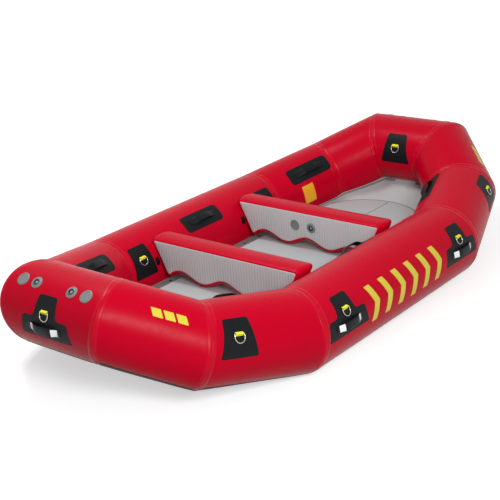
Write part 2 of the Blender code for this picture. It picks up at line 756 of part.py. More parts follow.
def build_end_valves(panels, tubes, parts, guides, grey):
    for end in ("bow", "stern"):
        panel = panels[end]
        for side, sign in (("starboard", -1), ("port", 1)):
            tag = end + "_" + side
            angle = math.radians(VALVE_ELEVATION_DEGREES)
            normal = panel.normal(1, angle)
            for reach, relief in ((VALVE_FROM_CENTRE, False), (RELIEF_FROM_CENTRE, True)):
                place = panel.point(1, panel.length / 2 + sign * reach, angle)
                frame = frame_at(place, normal, panel.axis)
                if relief:
                    body = guide_turned(guides, "relief_body_" + tag, relief_body_profile(0.0), frame)
                    add_boolean(tubes[end], body, "UNION")
                else:
                    fit_valve(tubes[end], guides, tag, frame)
                    plunger = turned(parts, "valve_plunger_" + tag, plunger_profile(), frame)
                    plunger.data.materials.append(grey)


def tow_corners():
    half = [(TOW_FOOT_HALF, TOW_FOOT), (TOW_WING_HALF, TOW_WING_TOP), (TOW_STEM_HALF, TOW_WING_TOP),
            (TOW_STEM_HALF, TOW_STEM_TOP)]
    return half + [(-x, y) for x, y in half[::-1]]


def ring_patch_corners(foot_half):
    return [(foot_half, RING_PATCH_FOOT), (RING_PATCH_TOP_HALF, RING_PATCH_TOP),
            (-RING_PATCH_TOP_HALF, RING_PATCH_TOP), (-foot_half, RING_PATCH_FOOT)]


def ring_places(panels):
    """Every lashing ring: its name, kind of patch, tube, side of the tube, place and angle."""
    places = []
    for end, side in ((e, s) for e in ("bow", "stern") for s in ("starboard", "port")):
        towards = 1 if end == "bow" else -1
        beam = panels["side_" + side]
        kick = panels["kick_" + end + "_" + side]
        middle = beam.length / 2
        places.append(("outer_" + end + "_" + side, "tow", beam, 1,
                       middle + towards * (middle - SIDE_PATCH_FROM_JOINT), SIDE_BAR_DEGREES))
        places.append(("kick_" + end + "_" + side, "plain", kick, 1,
                       kick.length - KICK_PATCH_FROM_CORNER, KICK_BAR_DEGREES))
        places.append(("inner_" + end + "_" + side, "narrow", beam, -1,
                       middle + towards * (middle - INNER_PATCH_FROM_JOINT), INNER_SIDE_BAR_DEGREES))
    for end in ("bow", "stern"):
        panel = panels[end]
        places.append(("tow_" + end, "tow", panel, 1, panel.length / 2, END_BAR_DEGREES))
        places.append(("inner_" + end, "plain", panel, -1, panel.length / 2, INNER_END_BAR_DEGREES))
    return places


def build_rings(panels, parts, guides, black, steel):
    flats = {"tow": ring_patch_flat(guides, tow_corners(), TOW_STRAP_DROP),
             "plain": ring_patch_flat(guides, ring_patch_corners(RING_PATCH_FOOT_HALF)),
             "narrow": ring_patch_flat(guides, ring_patch_corners(INNER_PATCH_FOOT_HALF))}
    curve = ring_curve("ring")
    curve.materials.append(steel)
    for name, kind, panel, facing, along, degrees in ring_places(panels):
        mesh = wrapped("patch_" + name, flats[kind], panel, facing, along, degrees)
        smooth(mesh)
        add_object(parts, "patch_" + name, mesh, black)
        ring = bpy.data.objects.new("ring_" + name, curve)
        parts.objects.link(ring)
        tilt = Matrix.Rotation(math.radians(RING_REST_DEGREES), 4, "X")
        ring.matrix_world = bar_frame(panel, facing, along, degrees) @ tilt


def build_grab_handles(panels, parts, guides, black):
    flat = grab_patch_flat(guides)
    for side in ("starboard", "port"):
        beam = panels["side_" + side]
        places = [("midship_" + side, beam, beam.length / 2, GRAB_SIDE_DEGREES)]
        for end in ("bow", "stern"):
            kick = panels["kick_" + end + "_" + side]
            places.append((end + "_" + side, kick, KICK_GRAB_FROM_SIDE, GRAB_KICK_DEGREES))
        for name, panel, along, degrees in places:
            mesh = wrapped("handle_" + name, flat, panel, -1, along, degrees)
            smooth(mesh)
            add_object(parts, "handle_" + name, mesh, black)


def build_floor(panels, parts, guides, pale, dark):
    mesh = floor_mesh()
    smooth(mesh)
    floor = add_object(parts, "floor_panel", mesh, pale)
    skin = floor.modifiers.new("Skin", "SOLIDIFY")
    skin.thickness = FABRIC
    skin.offset = -1.0
    valve_x = -(FLOOR_STRAIGHT + FLOOR_VALVE_RUN)
    place = Vector((valve_x, 0.0, FLOOR_TOP + floor_rise(valve_x)))
    frame = frame_at(place, UP, Vector((1.0, 0.0, 0.0)))
    vent = [(RELIEF_VENT_RADIUS + FLANGE_PROUD, FLANGE_SUNK), (RELIEF_VENT_RADIUS + FLANGE_PROUD, -FLANGE_SUNK),
            (0.0, -FLANGE_SUNK), (0.0, FLANGE_SUNK)]
    add_boolean(floor, guide_turned(guides, "floor_vent", vent, frame), "DIFFERENCE")
    relief = relief_body_profile(RELIEF_VENT_RADIUS)
    add_boolean(floor, guide_turned(guides, "floor_relief", relief, frame), "UNION")
    skirt = add_object(parts, "floor_skirt", skirt_mesh(panels), dark)
    sheet = skirt.modifiers.new("Sheet", "SOLIDIFY")
    sheet.thickness = SKIRT_THICKNESS
    sheet.offset = -1.0


def build_thwarts(parts, guides, pale, grey):
    for end, sign in (("bow", 1), ("stern", -1)):
        mesh = thwart_mesh()
        smooth(mesh)
        thwart = add_object(parts, "thwart_" + end, mesh, pale)
        thwart.location.x = sign * THWART_X
        skin = thwart.modifiers.new("Skin", "SOLIDIFY")
        skin.thickness = FABRIC
        skin.offset = -1.0
        inward = Vector((-sign, 0.0, 0.0))
        x = sign * (THWART_X - THWART_THICKNESS / 2)
        valve_z = THWART_FACE_TOP - THWART_VALVE_DROP
        frame = frame_at(Vector((x, sign * THWART_VALVE_Y, valve_z)), inward, UP)
        fit_valve(thwart, guides, "thwart_" + end, frame)
        cap = frame_at(Vector((x, sign * THWART_RELIEF_Y, valve_z)), inward, UP)
        add_boolean(thwart, guide_turned(guides, "relief_body_thwart_" + end, relief_body_profile(0.0), cap), "UNION")
        plunger = turned(parts, "valve_plunger_thwart_" + end, plunger_profile(), frame)
        plunger.data.materials.append(grey)


def main():
    clear_scene()
    parts = new_collection("whitewater_raft")
    guides = new_collection("cutters")
    red = new_material("coated_fabric_red", (0.60, 0.004, 0.017), 0.38)
    black = new_material("patch_black", (0.018, 0.020, 0.022), 0.55)
    pale = new_material("coated_fabric_grey", (0.46, 0.44, 0.44), 0.55)
    dark = new_material("skirt_grey", (0.16, 0.17, 0.175), 0.6)
    grey = new_material("valve_plastic", (0.25, 0.26, 0.26), 0.5)
    steel = new_material("ring_steel", (0.62, 0.62, 0.62), 0.25, 1.0)
    panels = make_panels()
    tubes = build_tubes(panels, parts, guides, red)
    build_end_valves(panels, tubes, parts, guides, grey)
    build_rings(panels, parts, guides, black, steel)
    build_grab_handles(panels, parts, guides, black)
    build_floor(panels, parts, guides, pale, dark)
    build_thwarts(parts, guides, pale, grey)


main()
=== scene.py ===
"""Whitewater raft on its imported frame: a ring of twelve inflated red tubes with black patches,
steel rings and air valves, a laced-in grey floor and two inflated thwarts.

Metres, +Z up. +X is the bow, +Y is port, and the raft stands on the ground at zero.
"""
import math

import bmesh
import bpy
from mathutils import Matrix, Vector, noise


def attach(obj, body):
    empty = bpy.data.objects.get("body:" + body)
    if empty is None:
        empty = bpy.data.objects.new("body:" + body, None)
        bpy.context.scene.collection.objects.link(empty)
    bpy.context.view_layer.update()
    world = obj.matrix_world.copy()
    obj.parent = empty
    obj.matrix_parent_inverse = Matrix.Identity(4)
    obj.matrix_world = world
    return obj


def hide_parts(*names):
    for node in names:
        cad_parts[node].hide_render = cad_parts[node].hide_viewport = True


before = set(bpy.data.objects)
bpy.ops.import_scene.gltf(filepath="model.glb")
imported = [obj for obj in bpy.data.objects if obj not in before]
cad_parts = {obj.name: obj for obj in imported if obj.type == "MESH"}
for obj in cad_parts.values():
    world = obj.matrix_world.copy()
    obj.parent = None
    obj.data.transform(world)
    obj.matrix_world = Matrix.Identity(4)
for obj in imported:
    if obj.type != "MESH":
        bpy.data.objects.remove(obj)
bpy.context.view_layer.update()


# Tube panels
# Twelve lengths of woven polyester coated with red PVC, cut to their mitres and welded end to
# end into a closed ring. Blown up hard, the skin is drum tight, with small puckers beside each
# joint where the weld holds it in.
# The joints of one quarter of the ring: X, Y and Z of the middle, and the tube's radius there.
SIDE_JOINT = (0.7603, 0.7295, 0.2311, 0.2320)
KICK_JOINT = (1.3366, 0.5432, 0.3411, 0.2238)
END_JOINT = (1.6097, 0.2469, 0.5087, 0.2203)
SKIN_SHARE = 0.9975  # of that radius, to leave room for what swells
SWELL = 0.0007
PINCH = 0.0027
PUCKER = 0.0016
PUCKER_REACH = 0.042
PUCKERS_ROUND = 26
TUBE_COLUMNS = 128
COLUMN_STEP = 0.0114
UP = Vector((0.0, 0.0, 1.0))


def between(one, two, share):
    return one + (two - one) * share


def circle(count):
    """Even turns once round."""
    return [2 * math.pi * k / count for k in range(count)]


class Mitre:
    """A welded joint: its plane, the inside of its bend, and the puckers that it makes."""

    def __init__(self, centre, before, after, number):
        self.centre = centre
        self.across = (before + after).normalized()
        self.inside = (after - before).normalized()
        self.sideways = self.across.cross(self.inside)
        self.phase = 2.4 * number

    def pull(self, place):
        """How far the weld moves the skin out at a place on the joint; it is mostly inwards."""
        offset = place - self.centre
        turn = math.atan2(offset.dot(self.sideways), offset.dot(self.inside))
        wave = math.sin(PUCKERS_ROUND * turn + self.phase + 1.4 * math.sin(3 * turn + self.phase))
        rough = 0.5 + noise.noise(Vector((self.phase, 4 * math.cos(turn), 4 * math.sin(turn))))
        return PUCKER * wave * rough * (0.75 + 0.6 * math.cos(turn)) - PINCH


class TubePanel:
    """One straight, slightly tapered length of tube between two mitred joints."""

    def __init__(self, name, start, end, mitres):
        self.name, self.mitres = name, mitres
        self.start, self.first_radius = start
        self.end, self.last_radius = end
        self.length = (self.end - self.start).length
        self.axis = (self.end - self.start) / self.length
        self.taper = (self.last_radius - self.first_radius) / self.length
        self.up = (UP - self.axis * self.axis.z).normalized()
        self.out = self.axis.cross(self.up)
        if self.out.dot(self.start + self.end - UP * (self.start.z + self.end.z)) < 0:
            self.out.negate()

    def radius(self, along):
        return self.first_radius + self.taper * along

    def normal(self, turn):
        """Out of the skin. Turn 0 faces out of the raft, a quarter turn up, and a half turn in."""
        return self.out * math.cos(turn) + self.up * math.sin(turn)

    def beside(self, place):
        """Distance along the tube beside a place, and the way out to it from the middle line."""
        along = (place - self.start).dot(self.axis)
        return along, place - self.start - self.axis * along

    def seam(self, turn, end):
        """Distance along the tube at which a line on the skin meets a joint's plane."""
        mitre, direction = self.mitres[end], self.normal(turn)
        first = self.start + direction * (self.first_radius * SKIN_SHARE)
        slope = self.axis + direction * (self.taper * SKIN_SHARE)
        return (mitre.centre - first).dot(mitre.across) / slope.dot(mitre.across)

    def place(self, turn, along, height=0.0):
        """A place on the blown-up skin, or at a height off it."""
        direction = self.normal(turn)
        radius = self.radius(along) * SKIN_SHARE
        for end in (0, 1):
            seam = self.seam(turn, end)
            away = abs(along - seam)
            if away < 5 * PUCKER_REACH:
                on_seam = self.start + self.axis * seam + direction * self.radius(seam)
                radius += self.mitres[end].pull(on_seam) * math.exp(-away / PUCKER_REACH)
        spot = self.start + self.axis * along + direction * radius
        return spot + direction * (SWELL * noise.noise(spot * 5.0) + height)


def make_panels():
    """The twelve tubes by name. The sides run towards the bow, the kicks and corners away from
    the sides, and both ends from starboard to port."""
    quarter = (SIDE_JOINT, KICK_JOINT, END_JOINT)
    ring = []
    for sign_x, sign_y in ((1, -1), (1, 1), (-1, 1), (-1, -1)):
        run = quarter if sign_x * sign_y < 0 else quarter[::-1]
        ring += [(Vector((sign_x * x, sign_y * y, z)), radius) for x, y, z, radius in run]
    names = ("kick_bow_starboard", "corner_bow_starboard", "bow", "corner_bow_port",
             "kick_bow_port", "side_port", "kick_stern_port", "corner_stern_port", "stern",
             "corner_stern_starboard", "kick_stern_starboard", "side_starboard")
    count = len(ring)
    mitres = []
    for index, (centre, _) in enumerate(ring):
        before = (centre - ring[index - 1][0]).normalized()
        after = (ring[(index + 1) % count][0] - centre).normalized()
        mitres.append(Mitre(centre, before, after, index))
    made = {}
    for index, name in enumerate(names):
        first, second = index, (index + 1) % count
        starts_at_next = name in ("corner_bow_port", "kick_bow_port", "side_port", "stern",
                                  "corner_stern_starboard", "kick_stern_starboard")
        if starts_at_next:
            first, second = second, first
        made[name] = TubePanel(name, ring[first], ring[second], (mitres[first], mitres[second]))
    return made


def grid_mesh(name, rows, wrap=False, cloth=None):
    """Quads over rows of places. Wrap joins a row's end to its start. Cloth gives the places on
    the flat cloth in metres, which the weave follows: a function, or the steps of its rows and
    columns."""
    across = len(rows[0])
    faces, corners = [], []
    for i in range(len(rows) - 1):
        for j in range(across if wrap else across - 1):
            k = (j + 1) % across
            here, after = i * across, (i + 1) * across
            faces.append((here + j, here + k, after + k, after + j))
            corners.append(((i, j), (i, j + 1), (i + 1, j + 1), (i + 1, j)))
    mesh = bpy.data.meshes.new(name)
    mesh.from_pydata([tuple(place) for row in rows for place in row], [], faces)
    if cloth:
        layer = mesh.uv_layers.new(name="cloth")
        for face, spots in zip(mesh.polygons, corners):
            for loop, (i, j) in zip(face.loop_indices, spots):
                spot = cloth(i, j) if callable(cloth) else (cloth[0] * i, cloth[1] * j)
                layer.data[loop].uv = spot
    mesh.shade_smooth()
    return mesh


def turn_out(mesh, outward):
    """Turns the faces over if they look against a direction that is a function of place."""
    towards = sum(face.normal.dot(outward(face.center)) * face.area for face in mesh.polygons)
    if towards < 0:
        mesh.flip_normals()


def add_piece(name, mesh, material, body="hull"):
    """Puts a piece in the scene, in a slot for its finish and on the body that carries it."""
    mesh.materials.append(material)
    piece = bpy.data.objects.new(name, mesh)
    bpy.context.scene.collection.objects.link(piece)
    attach(piece, body)
    return piece


def linear(code):
    """The linear colour of an sRGB hex value."""
    channels = [int(code[k:k + 2], 16) / 255 for k in (1, 3, 5)]
    levels = [c / 12.92 if c <= 0.04045 else ((c + 0.055) / 1.055) ** 2.4 for c in channels]
    return (*levels, 1.0)


def new_material(name, sockets):
    material = bpy.data.materials.new(name)
    material.use_nodes = True
    shader = material.node_tree.nodes["Principled BSDF"]
    for socket, value in sockets.items():
        shader.inputs[socket].default_value = value
    return material, shader


def join(material, node, links):
    for socket, (source, output) in links.items():
        material.node_tree.links.new(source.outputs[output], node.inputs[socket])


def add_node(material, kind, settings=None, links=None):
    """Adds a node. A setting goes to a property or a socket, and a link comes from an output."""
    node = material.node_tree.nodes.new("ShaderNode" + kind)
    for key, value in (settings or {}).items():
        if isinstance(key, str) and hasattr(node, key):
            setattr(node, key, value)
        else:
            node.inputs[key].default_value = value
    join(material, node, links or {})
    return node


def finish(material, shader, tint, gloss, relief, spread=(0.0, 1.0)):
    """Gives a material its colour, roughness and relief, each after the pattern named last in it.
    Tint has two colours, gloss two roughnesses and relief a strength and a depth in metres.
    Spread is the part of the gloss's pattern between its two roughnesses."""
    colours = {"data_type": "RGBA", 6: linear(tint[0]), 7: linear(tint[1])}
    colour = add_node(material, "Mix", colours, {0: tint[2]})
    rough = add_node(material, "MapRange", {"From Min": spread[0], "From Max": spread[1],
                                            "To Min": gloss[0], "To Max": gloss[1]},
                     {"Value": gloss[2]})
    bump = add_node(material, "Bump", {"Strength": relief[0], "Distance": relief[1]},
                    {"Height": relief[2]})
    join(material, shader,
         {"Base Color": (colour, 2), "Roughness": (rough, 0), "Normal": (bump, 0)})


# PVC coated on polyester and calendered: a satin film with a soft wide gloss. The base cloth's
# threads, 1 mm apart in the real one, print through very faintly and are drawn 2.5 mm apart to
# show in a near view. Handling leaves the gloss a little uneven.
red_pvc, red_shader = new_material("pvc_coated_polyester_red",
                                   {"IOR": 1.53, "Specular IOR Level": 0.05})
THREAD = 0.0025
WAVE = 0.314  # scale of a wave pattern whose bands are 1 m apart
spots = add_node(red_pvc, "TexCoord")
weft, warp = (add_node(red_pvc, "TexWave", {"bands_direction": way, "Scale": WAVE / THREAD},
                       {"Vector": (spots, "UV")}) for way in ("X", "Y"))
weave = add_node(red_pvc, "Math", {"operation": "MULTIPLY"}, {0: (weft, "Fac"), 1: (warp, "Fac")})
cloud = add_node(red_pvc, "TexNoise", {"Scale": 1 / 0.45, "Detail": 3.0, "Roughness": 0.55},
                 {"Vector": (spots, "Object")})
rub = add_node(red_pvc, "TexNoise", {"Scale": 1 / 0.030, "Detail": 4.0, "Roughness": 0.6},
               {"Vector": (spots, "Object")})
surface = add_node(red_pvc, "Math", {"operation": "MULTIPLY_ADD", 1: 0.35},
                   {0: (weave, 0), 2: (rub, "Fac")})
finish(red_pvc, red_shader, tint=("#B80020", "#C00124", (cloud, "Fac")),
       gloss=(0.27, 0.38, (rub, "Fac")), relief=(0.18, 0.0006, (surface, 0)),
       spread=(0.3, 0.7))


def tube_mesh(panel):
    """The skin of one tube. Its rows lie closer towards the joints, for the puckers there."""
    steps = round(panel.length / (0.010 if panel.name in ("bow", "stern") else 0.030))
    shares = [0.5 - 0.5 * math.cos(math.pi * i / steps) for i in range(steps + 1)]
    turns = circle(TUBE_COLUMNS)
    ends = [(panel.seam(turn, 0), panel.seam(turn, 1)) for turn in turns]
    rows = [[panel.place(turn, between(*pair, share)) for turn, pair in zip(turns, ends)]
            for share in shares]
    girth = 2 * math.pi * panel.radius(panel.length / 2)

    def cloth(i, j):
        return between(*ends[j % TUBE_COLUMNS], shares[i]), girth * j / TUBE_COLUMNS

    mesh = grid_mesh("tube_" + panel.name, rows, True, cloth)
    turn_out(mesh, lambda spot: panel.beside(spot)[1])
    return mesh


panels = make_panels()
for panel in panels.values():
    tube = add_piece("skin_" + panel.name, tube_mesh(panel), red_pvc)
    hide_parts("tube_" + panel.name)


# Seam tapes
# A strip of the same coated fabric, 50 mm wide, welded over each mitred joint. The pressure
# rolls each half up a little between its edge and the weld, which draws a pair of bright lines.
TAPE_HALF = 0.025
RIM_SINK = 0.0004  # the rim of a thin layer goes this far under the skin
TAPE_LINE = [(1.0, -RIM_SINK), (0.98, 0.0001), (0.86, 0.0009), (0.66, 0.0022), (0.48, 0.0026),
             (0.30, 0.0018), (0.14, 0.0006), (0.03, 0.0003)]


def tape_mesh(one, one_end, two, two_end):
    """Band over the joint at which panel one's end meets panel two's."""
    middle = one.mitres[one_end].centre
    columns = []
    for turn in circle(TUBE_COLUMNS):
        ridge = one.place(turn, one.seam(turn, one_end))
        offset = ridge - two.start
        far_turn = math.atan2(offset.dot(two.up), offset.dot(two.out))
        roll = 0.75 + 0.8 * noise.noise(ridge * 9.0 + middle)
        column = []
        for panel, end, angle, line in ((one, one_end, turn, TAPE_LINE),
                                        (two, two_end, far_turn, TAPE_LINE[::-1])):
            seam = panel.seam(angle, end)
            reach = TAPE_HALF if end == 0 else -TAPE_HALF
            for step, height in line:
                lift = height * (roll if step < 0.95 else 1.0)
                column.append(panel.place(angle, seam + reach * step, lift))
        columns.append(column)
    row_step = TAPE_HALF / len(TAPE_LINE)
    mesh = grid_mesh("seam_tape", list(zip(*columns)), True, (row_step, COLUMN_STEP))
    turn_out(mesh, lambda spot: spot - middle)
    return mesh


# The same red film, drawn tight over the weld by the hot roller: smoother and a little glossier.
rolled_pvc = red_pvc.copy()
rolled_pvc.name = "pvc_coated_tape_red"
rolled_shader = rolled_pvc.node_tree.nodes["Principled BSDF"]
rolled_shader.inputs["Specular IOR Level"].default_value = 0.10

neighbours = list(panels.values())
for number, one in enumerate(neighbours):
    two = neighbours[(number + 1) % len(neighbours)]
    shared = next(mitre for mitre in one.mitres if mitre in two.mitres)
    mesh = tape_mesh(one, one.mitres.index(shared), two, two.mitres.index(shared))
    add_piece("seam_tape_" + one.name, mesh, rolled_pvc)


# Underside strips
# A thin black layer laid along the underside of each tube, which makes the tube dark along its
# lower edge. Only its outer edge shows from the side.
STRIP_HEIGHT = 0.0012
STRIP_STEPS = (30, 24)
# Degrees below the horizontal: the outer edge at a tube's narrow and wide end, and the inner edge.
STRIP_EDGES = {"side": (60.0, 60.0, 120.0), "kick": (50.0, 60.0, 108.0),
               "corner": (46.0, 50.0, 98.0), "bow": (46.0, 46.0, 96.0), "stern": (46.0, 46.0, 96.0)}


def rimmed(steps):
    """Even shares from 0 to 1, the first and the last given once more as the rim outside them."""
    return [(min(max(k, 0), steps) / steps, k in (-1, steps + 1)) for k in range(-1, steps + 2)]


# Heavy PVC film with a fine matt emboss: black with a soft grey sheen and a scuffed gloss. The
# emboss is drawn 2.4 mm across.
black_pvc, black_shader = new_material("embossed_pvc_black",
                                       {"IOR": 1.53, "Specular IOR Level": 0.10})
spots = add_node(black_pvc, "TexCoord")
emboss = add_node(black_pvc, "TexVoronoi", {"Scale": 1 / 0.0024, "feature": "F1"},
                  {"Vector": (spots, "Object")})
scuff = add_node(black_pvc, "TexNoise", {"Scale": 1 / 0.033, "Detail": 5.0, "Roughness": 0.65},
                 {"Vector": (spots, "Object")})
finish(black_pvc, black_shader, tint=("#0B0D0F", "#14171A", (scuff, "Fac")),
       gloss=(0.42, 0.58, (scuff, "Fac")), relief=(0.25, 0.0005, (emboss, "Distance")),
       spread=(0.3, 0.7))

for panel in panels.values():
    first_edge, last_edge, inner_edge = STRIP_EDGES[panel.name.split("_")[0]]
    if panel.first_radius >= panel.last_radius:
        first_edge, last_edge = last_edge, first_edge
    rows = []
    for i in range(STRIP_STEPS[0] + 1):
        ahead = i / STRIP_STEPS[0]
        outer_edge = between(first_edge, last_edge, ahead)
        row = []
        for share, rim in rimmed(STRIP_STEPS[1]):
            turn = -math.radians(between(outer_edge, inner_edge, share))
            along = between(panel.seam(turn, 0), panel.seam(turn, 1), ahead)
            row.append(panel.place(turn, along, -RIM_SINK if rim else STRIP_HEIGHT))
        rows.append(row)
    mesh = grid_mesh("wear_strip", rows)
    turn_out(mesh, lambda spot: -UP)
    add_piece("wear_strip_" + panel.name, mesh, black_pvc)


# Painted marks
# Screen-printed chevrons along the starboard side and a short row of bars on both starboard
# corners, in yellow PVC ink, and one plain amber plate of printed film inside the bow.
INK_HEIGHT = 0.0004
SHEET_STEP = 0.012
SHEET_SINK = 0.0003
SHEET_BEVEL = 0.0009


def rounded(corners, radii, steps=6):
    """An outline with an arc in place of each corner. A radius of zero keeps the corner."""
    points = []
    count = len(corners)
    for index, radius in zip(range(count), radii):
        here = Vector(corners[index])
        if radius == 0:
            points.append(here)
            continue
        back = (Vector(corners[index - 1]) - here).normalized()
        ahead = (Vector(corners[(index + 1) % count]) - here).normalized()
        half = back.angle(ahead) / 2
        reach = radius / math.tan(half)
        centre = here + (back + ahead).normalized() * (radius / math.sin(half))
        first = (here + back * reach - centre).normalized()
        last = (here + ahead * reach - centre).normalized()
        points += [centre + first.slerp(last, step / steps) * radius for step in range(steps + 1)]
    return points


def oblong(wide, high, radius):
    """A rectangle with round corners, from half its width and half its height."""
    return rounded([(-wide, -high), (wide, -high), (wide, high), (-wide, high)], [radius] * 4)


def made_mesh(bm, name):
    """Ends the drawing of a shape and gives it as a mesh."""
    mesh = bpy.data.meshes.new(name)
    bm.to_mesh(mesh)
    bm.free()
    return mesh


def smoothed(mesh, degrees):
    """The mesh shaded smooth, save at edges that turn more than an angle."""
    mesh.shade_smooth()
    mesh.set_sharp_from_angle(angle=math.radians(degrees))
    return mesh


def cut_sheet(outline, thickness, lift=0.0):
    """Flat sheet with a softened rim. X runs along the tube, Y round it and Z out of it."""
    bm = bmesh.new()
    face = bm.faces.new([bm.verts.new((x, y, lift - SHEET_SINK)) for x, y in outline])
    face.normal_update()
    if face.normal.z < 0:
        face.normal_flip()
    bevel = min(SHEET_BEVEL, 0.6 * thickness + 0.0002)
    bmesh.ops.inset_individual(bm, faces=[face], thickness=bevel, depth=thickness + SHEET_SINK,
                               use_even_offset=True)
    for direction in (Vector((1.0, 0.0, 0.0)), Vector((0.0, 1.0, 0.0))):
        reach = [vert.co.dot(direction) for vert in bm.verts]
        for k in range(math.ceil(min(reach) / SHEET_STEP), math.ceil(max(reach) / SHEET_STEP)):
            bmesh.ops.bisect_plane(bm, geom=bm.verts[:] + bm.edges[:] + bm.faces[:], dist=0.00005,
                                   plane_co=direction * (k * SHEET_STEP), plane_no=direction)
    mesh = made_mesh(bm, "sheet")
    layer = mesh.uv_layers.new(name="cloth")
    for loop in mesh.loops:
        layer.data[loop.index].uv = mesh.vertices[loop.vertex_index].co.xy
    return mesh


def lay_on(name, flat, panel, facing, along, degrees):
    """Lays a flat mesh on a tube, its origin at a distance along it and an angle above the
    horizontal. Facing is 1 outside the raft and -1 inside it."""
    mesh = flat.copy()
    mesh.name = name
    radius = panel.radius(along)
    for vert in mesh.vertices:
        angle = math.radians(degrees) + vert.co.y / radius
        turn = angle if facing == 1 else math.pi - angle
        vert.co = panel.place(turn, along + vert.co.x, vert.co.z)
    upward = panel.normal(math.pi / 2) if facing == 1 else panel.up
    if panel.axis.cross(upward).dot(panel.out * facing) < 0:
        mesh.flip_normals()
    return smoothed(mesh, 35)


# Yellow PVC ink: a thin opaque film, a little rougher than the skin that it is printed on.
yellow_ink, ink_shader = new_material("printed_pvc_ink_yellow", {"IOR": 1.5})
spots = add_node(yellow_ink, "TexCoord")
cloud = add_node(yellow_ink, "TexNoise", {"Scale": 1 / 0.018, "Detail": 4.0},
                 {"Vector": (spots, "Object")})
finish(yellow_ink, ink_shader, tint=("#C8BC2A", "#D3C738", (cloud, "Fac")),
       gloss=(0.38, 0.55, (cloud, "Fac")), relief=(0.1, 0.0003, (cloud, "Fac")))

CHEVRON_HEIGHT = 0.205
CHEVRON_STROKE = 0.048
CHEVRON_POINT = 0.042
CHEVRON_PITCH = 0.133
CHEVRON_FIRST = -0.385
CHEVRON_ANGLE = -11.0
# The slanted bars on the corners.
DASH_LENGTH = 0.052
DASH_HEIGHT = 0.046
DASH_SLANT = 0.022
DASH_PITCH = 0.064

tall, stroke, point = CHEVRON_HEIGHT, CHEVRON_STROKE, CHEVRON_POINT
chevron = cut_sheet(rounded([(0, 0), (stroke, 0), (stroke + point, tall / 2), (stroke, tall),
                             (0, tall), (point, tall / 2)], [0.002] * 6, 2), INK_HEIGHT)
beam = panels["side_starboard"]
for number in range(6):
    along = beam.length / 2 + CHEVRON_FIRST + CHEVRON_PITCH * number
    mesh = lay_on("chevron", chevron, beam, 1, along, CHEVRON_ANGLE)
    add_piece("chevron_starboard_%d" % (number + 1), mesh, yellow_ink)

bar = cut_sheet(rounded([(0, 0), (DASH_LENGTH, 0), (DASH_LENGTH + DASH_SLANT, DASH_HEIGHT),
                         (DASH_SLANT, DASH_HEIGHT)], [0.003] * 4, 3), INK_HEIGHT)
for end, short, degrees in (("stern", 0.344, 45.0), ("bow", 0.360, 40.5)):
    corner = panels["corner_" + end + "_starboard"]
    for number in range(3):
        mesh = lay_on("bar", bar, corner, 1, corner.length - short + DASH_PITCH * number, degrees)
        add_piece("bar_" + end + "_%d" % (number + 1), mesh, yellow_ink)

# Printed vinyl film: smooth, orange-yellow, with the low sheen of a laminate.
amber_film, film_shader = new_material("vinyl_film_amber", {"IOR": 1.5})
spots = add_node(amber_film, "TexCoord")
cloud = add_node(amber_film, "TexNoise", {"Scale": 1 / 0.042, "Detail": 3.0},
                 {"Vector": (spots, "Object")})
finish(amber_film, film_shader, tint=("#E29A12", "#EBAA1E", (cloud, "Fac")),
       gloss=(0.28, 0.42, (cloud, "Fac")), relief=(0.05, 0.0003, (cloud, "Fac")))
PLATE_HALF = (0.047, 0.065)
kick = panels["kick_bow_port"]
plate = cut_sheet(oblong(*PLATE_HALF, 0.006), 0.0005)
mesh = lay_on("plate", plate, kick, -1, kick.length - 0.3195, 5.0)
add_piece("plain_plate", mesh, amber_film)


# Patches
# Moulded black PVC pads glued to the tubes. T-shaped ones carry a webbing loop and a strap on
# each side and at each end, tapered ones carry a loop, and rounded oblongs carry a strap inside.
PAD_THICKNESS = 0.0017
# Corners of the T's one half, X along the tube and Y up it, each with the radius of its arc.
TOW_PAD = [(0.180, -0.140, 0.005), (0.160, -0.033, 0.018), (0.0800, -0.030, 0.026),
           (0.0645, 0.086, 0.019)]
RING_PAD_TOP = (0.072, 0.086)
RING_PAD_FOOT = -0.121
RING_PAD_HOLLOW = 0.003
RING_BED = (0.034, 0.030)
GRAB_PAD = (0.171, 0.061)


def tow_outline():
    """The T, from the corners of its one half."""
    corners = TOW_PAD + [(-x, y, radius) for x, y, radius in TOW_PAD[::-1]]
    return rounded([(x, y) for x, y, _ in corners], [radius for _, _, radius in corners])


def tapered_outline(foot_half):
    """Short straight top and foot, joined by sides that are a little hollow."""
    top_half, top = RING_PAD_TOP
    side = []
    for k in range(9):
        hollow = RING_PAD_HOLLOW * math.sin(math.pi * k / 8)
        side.append((between(foot_half, top_half, k / 8) - hollow,
                     between(RING_PAD_FOOT, top, k / 8)))
    radii = [0.011] + [0] * 7 + [0.017]
    return rounded(side + [(-x, y) for x, y in side[::-1]], radii + radii[::-1])


def ring_places():
    """Each lashing ring: its name, the kind of pad, the tube, the side of it, place and angle."""
    places = []
    for end, towards in (("bow", 1), ("stern", -1)):
        for side in ("starboard", "port"):
            tag = end + "_" + side
            beam, kick = panels["side_" + side], panels["kick_" + tag]
            middle = beam.length / 2
            places.append(("outer_" + tag, "tow", beam, 1, middle + towards * 0.597, 30.0))
            places.append(("kick_" + tag, "tapered", kick, 1, kick.length - 0.116, 30.0))
            places.append(("inner_" + tag, "narrow", beam, -1, middle + towards * 0.6055, 30.0))
    for end in ("bow", "stern"):
        panel = panels[end]
        places.append(("tow_" + end, "tow", panel, 1, panel.length / 2, 20.0))
        places.append(("inner_" + end, "tapered", panel, -1, panel.length / 2, 20.0))
    return places


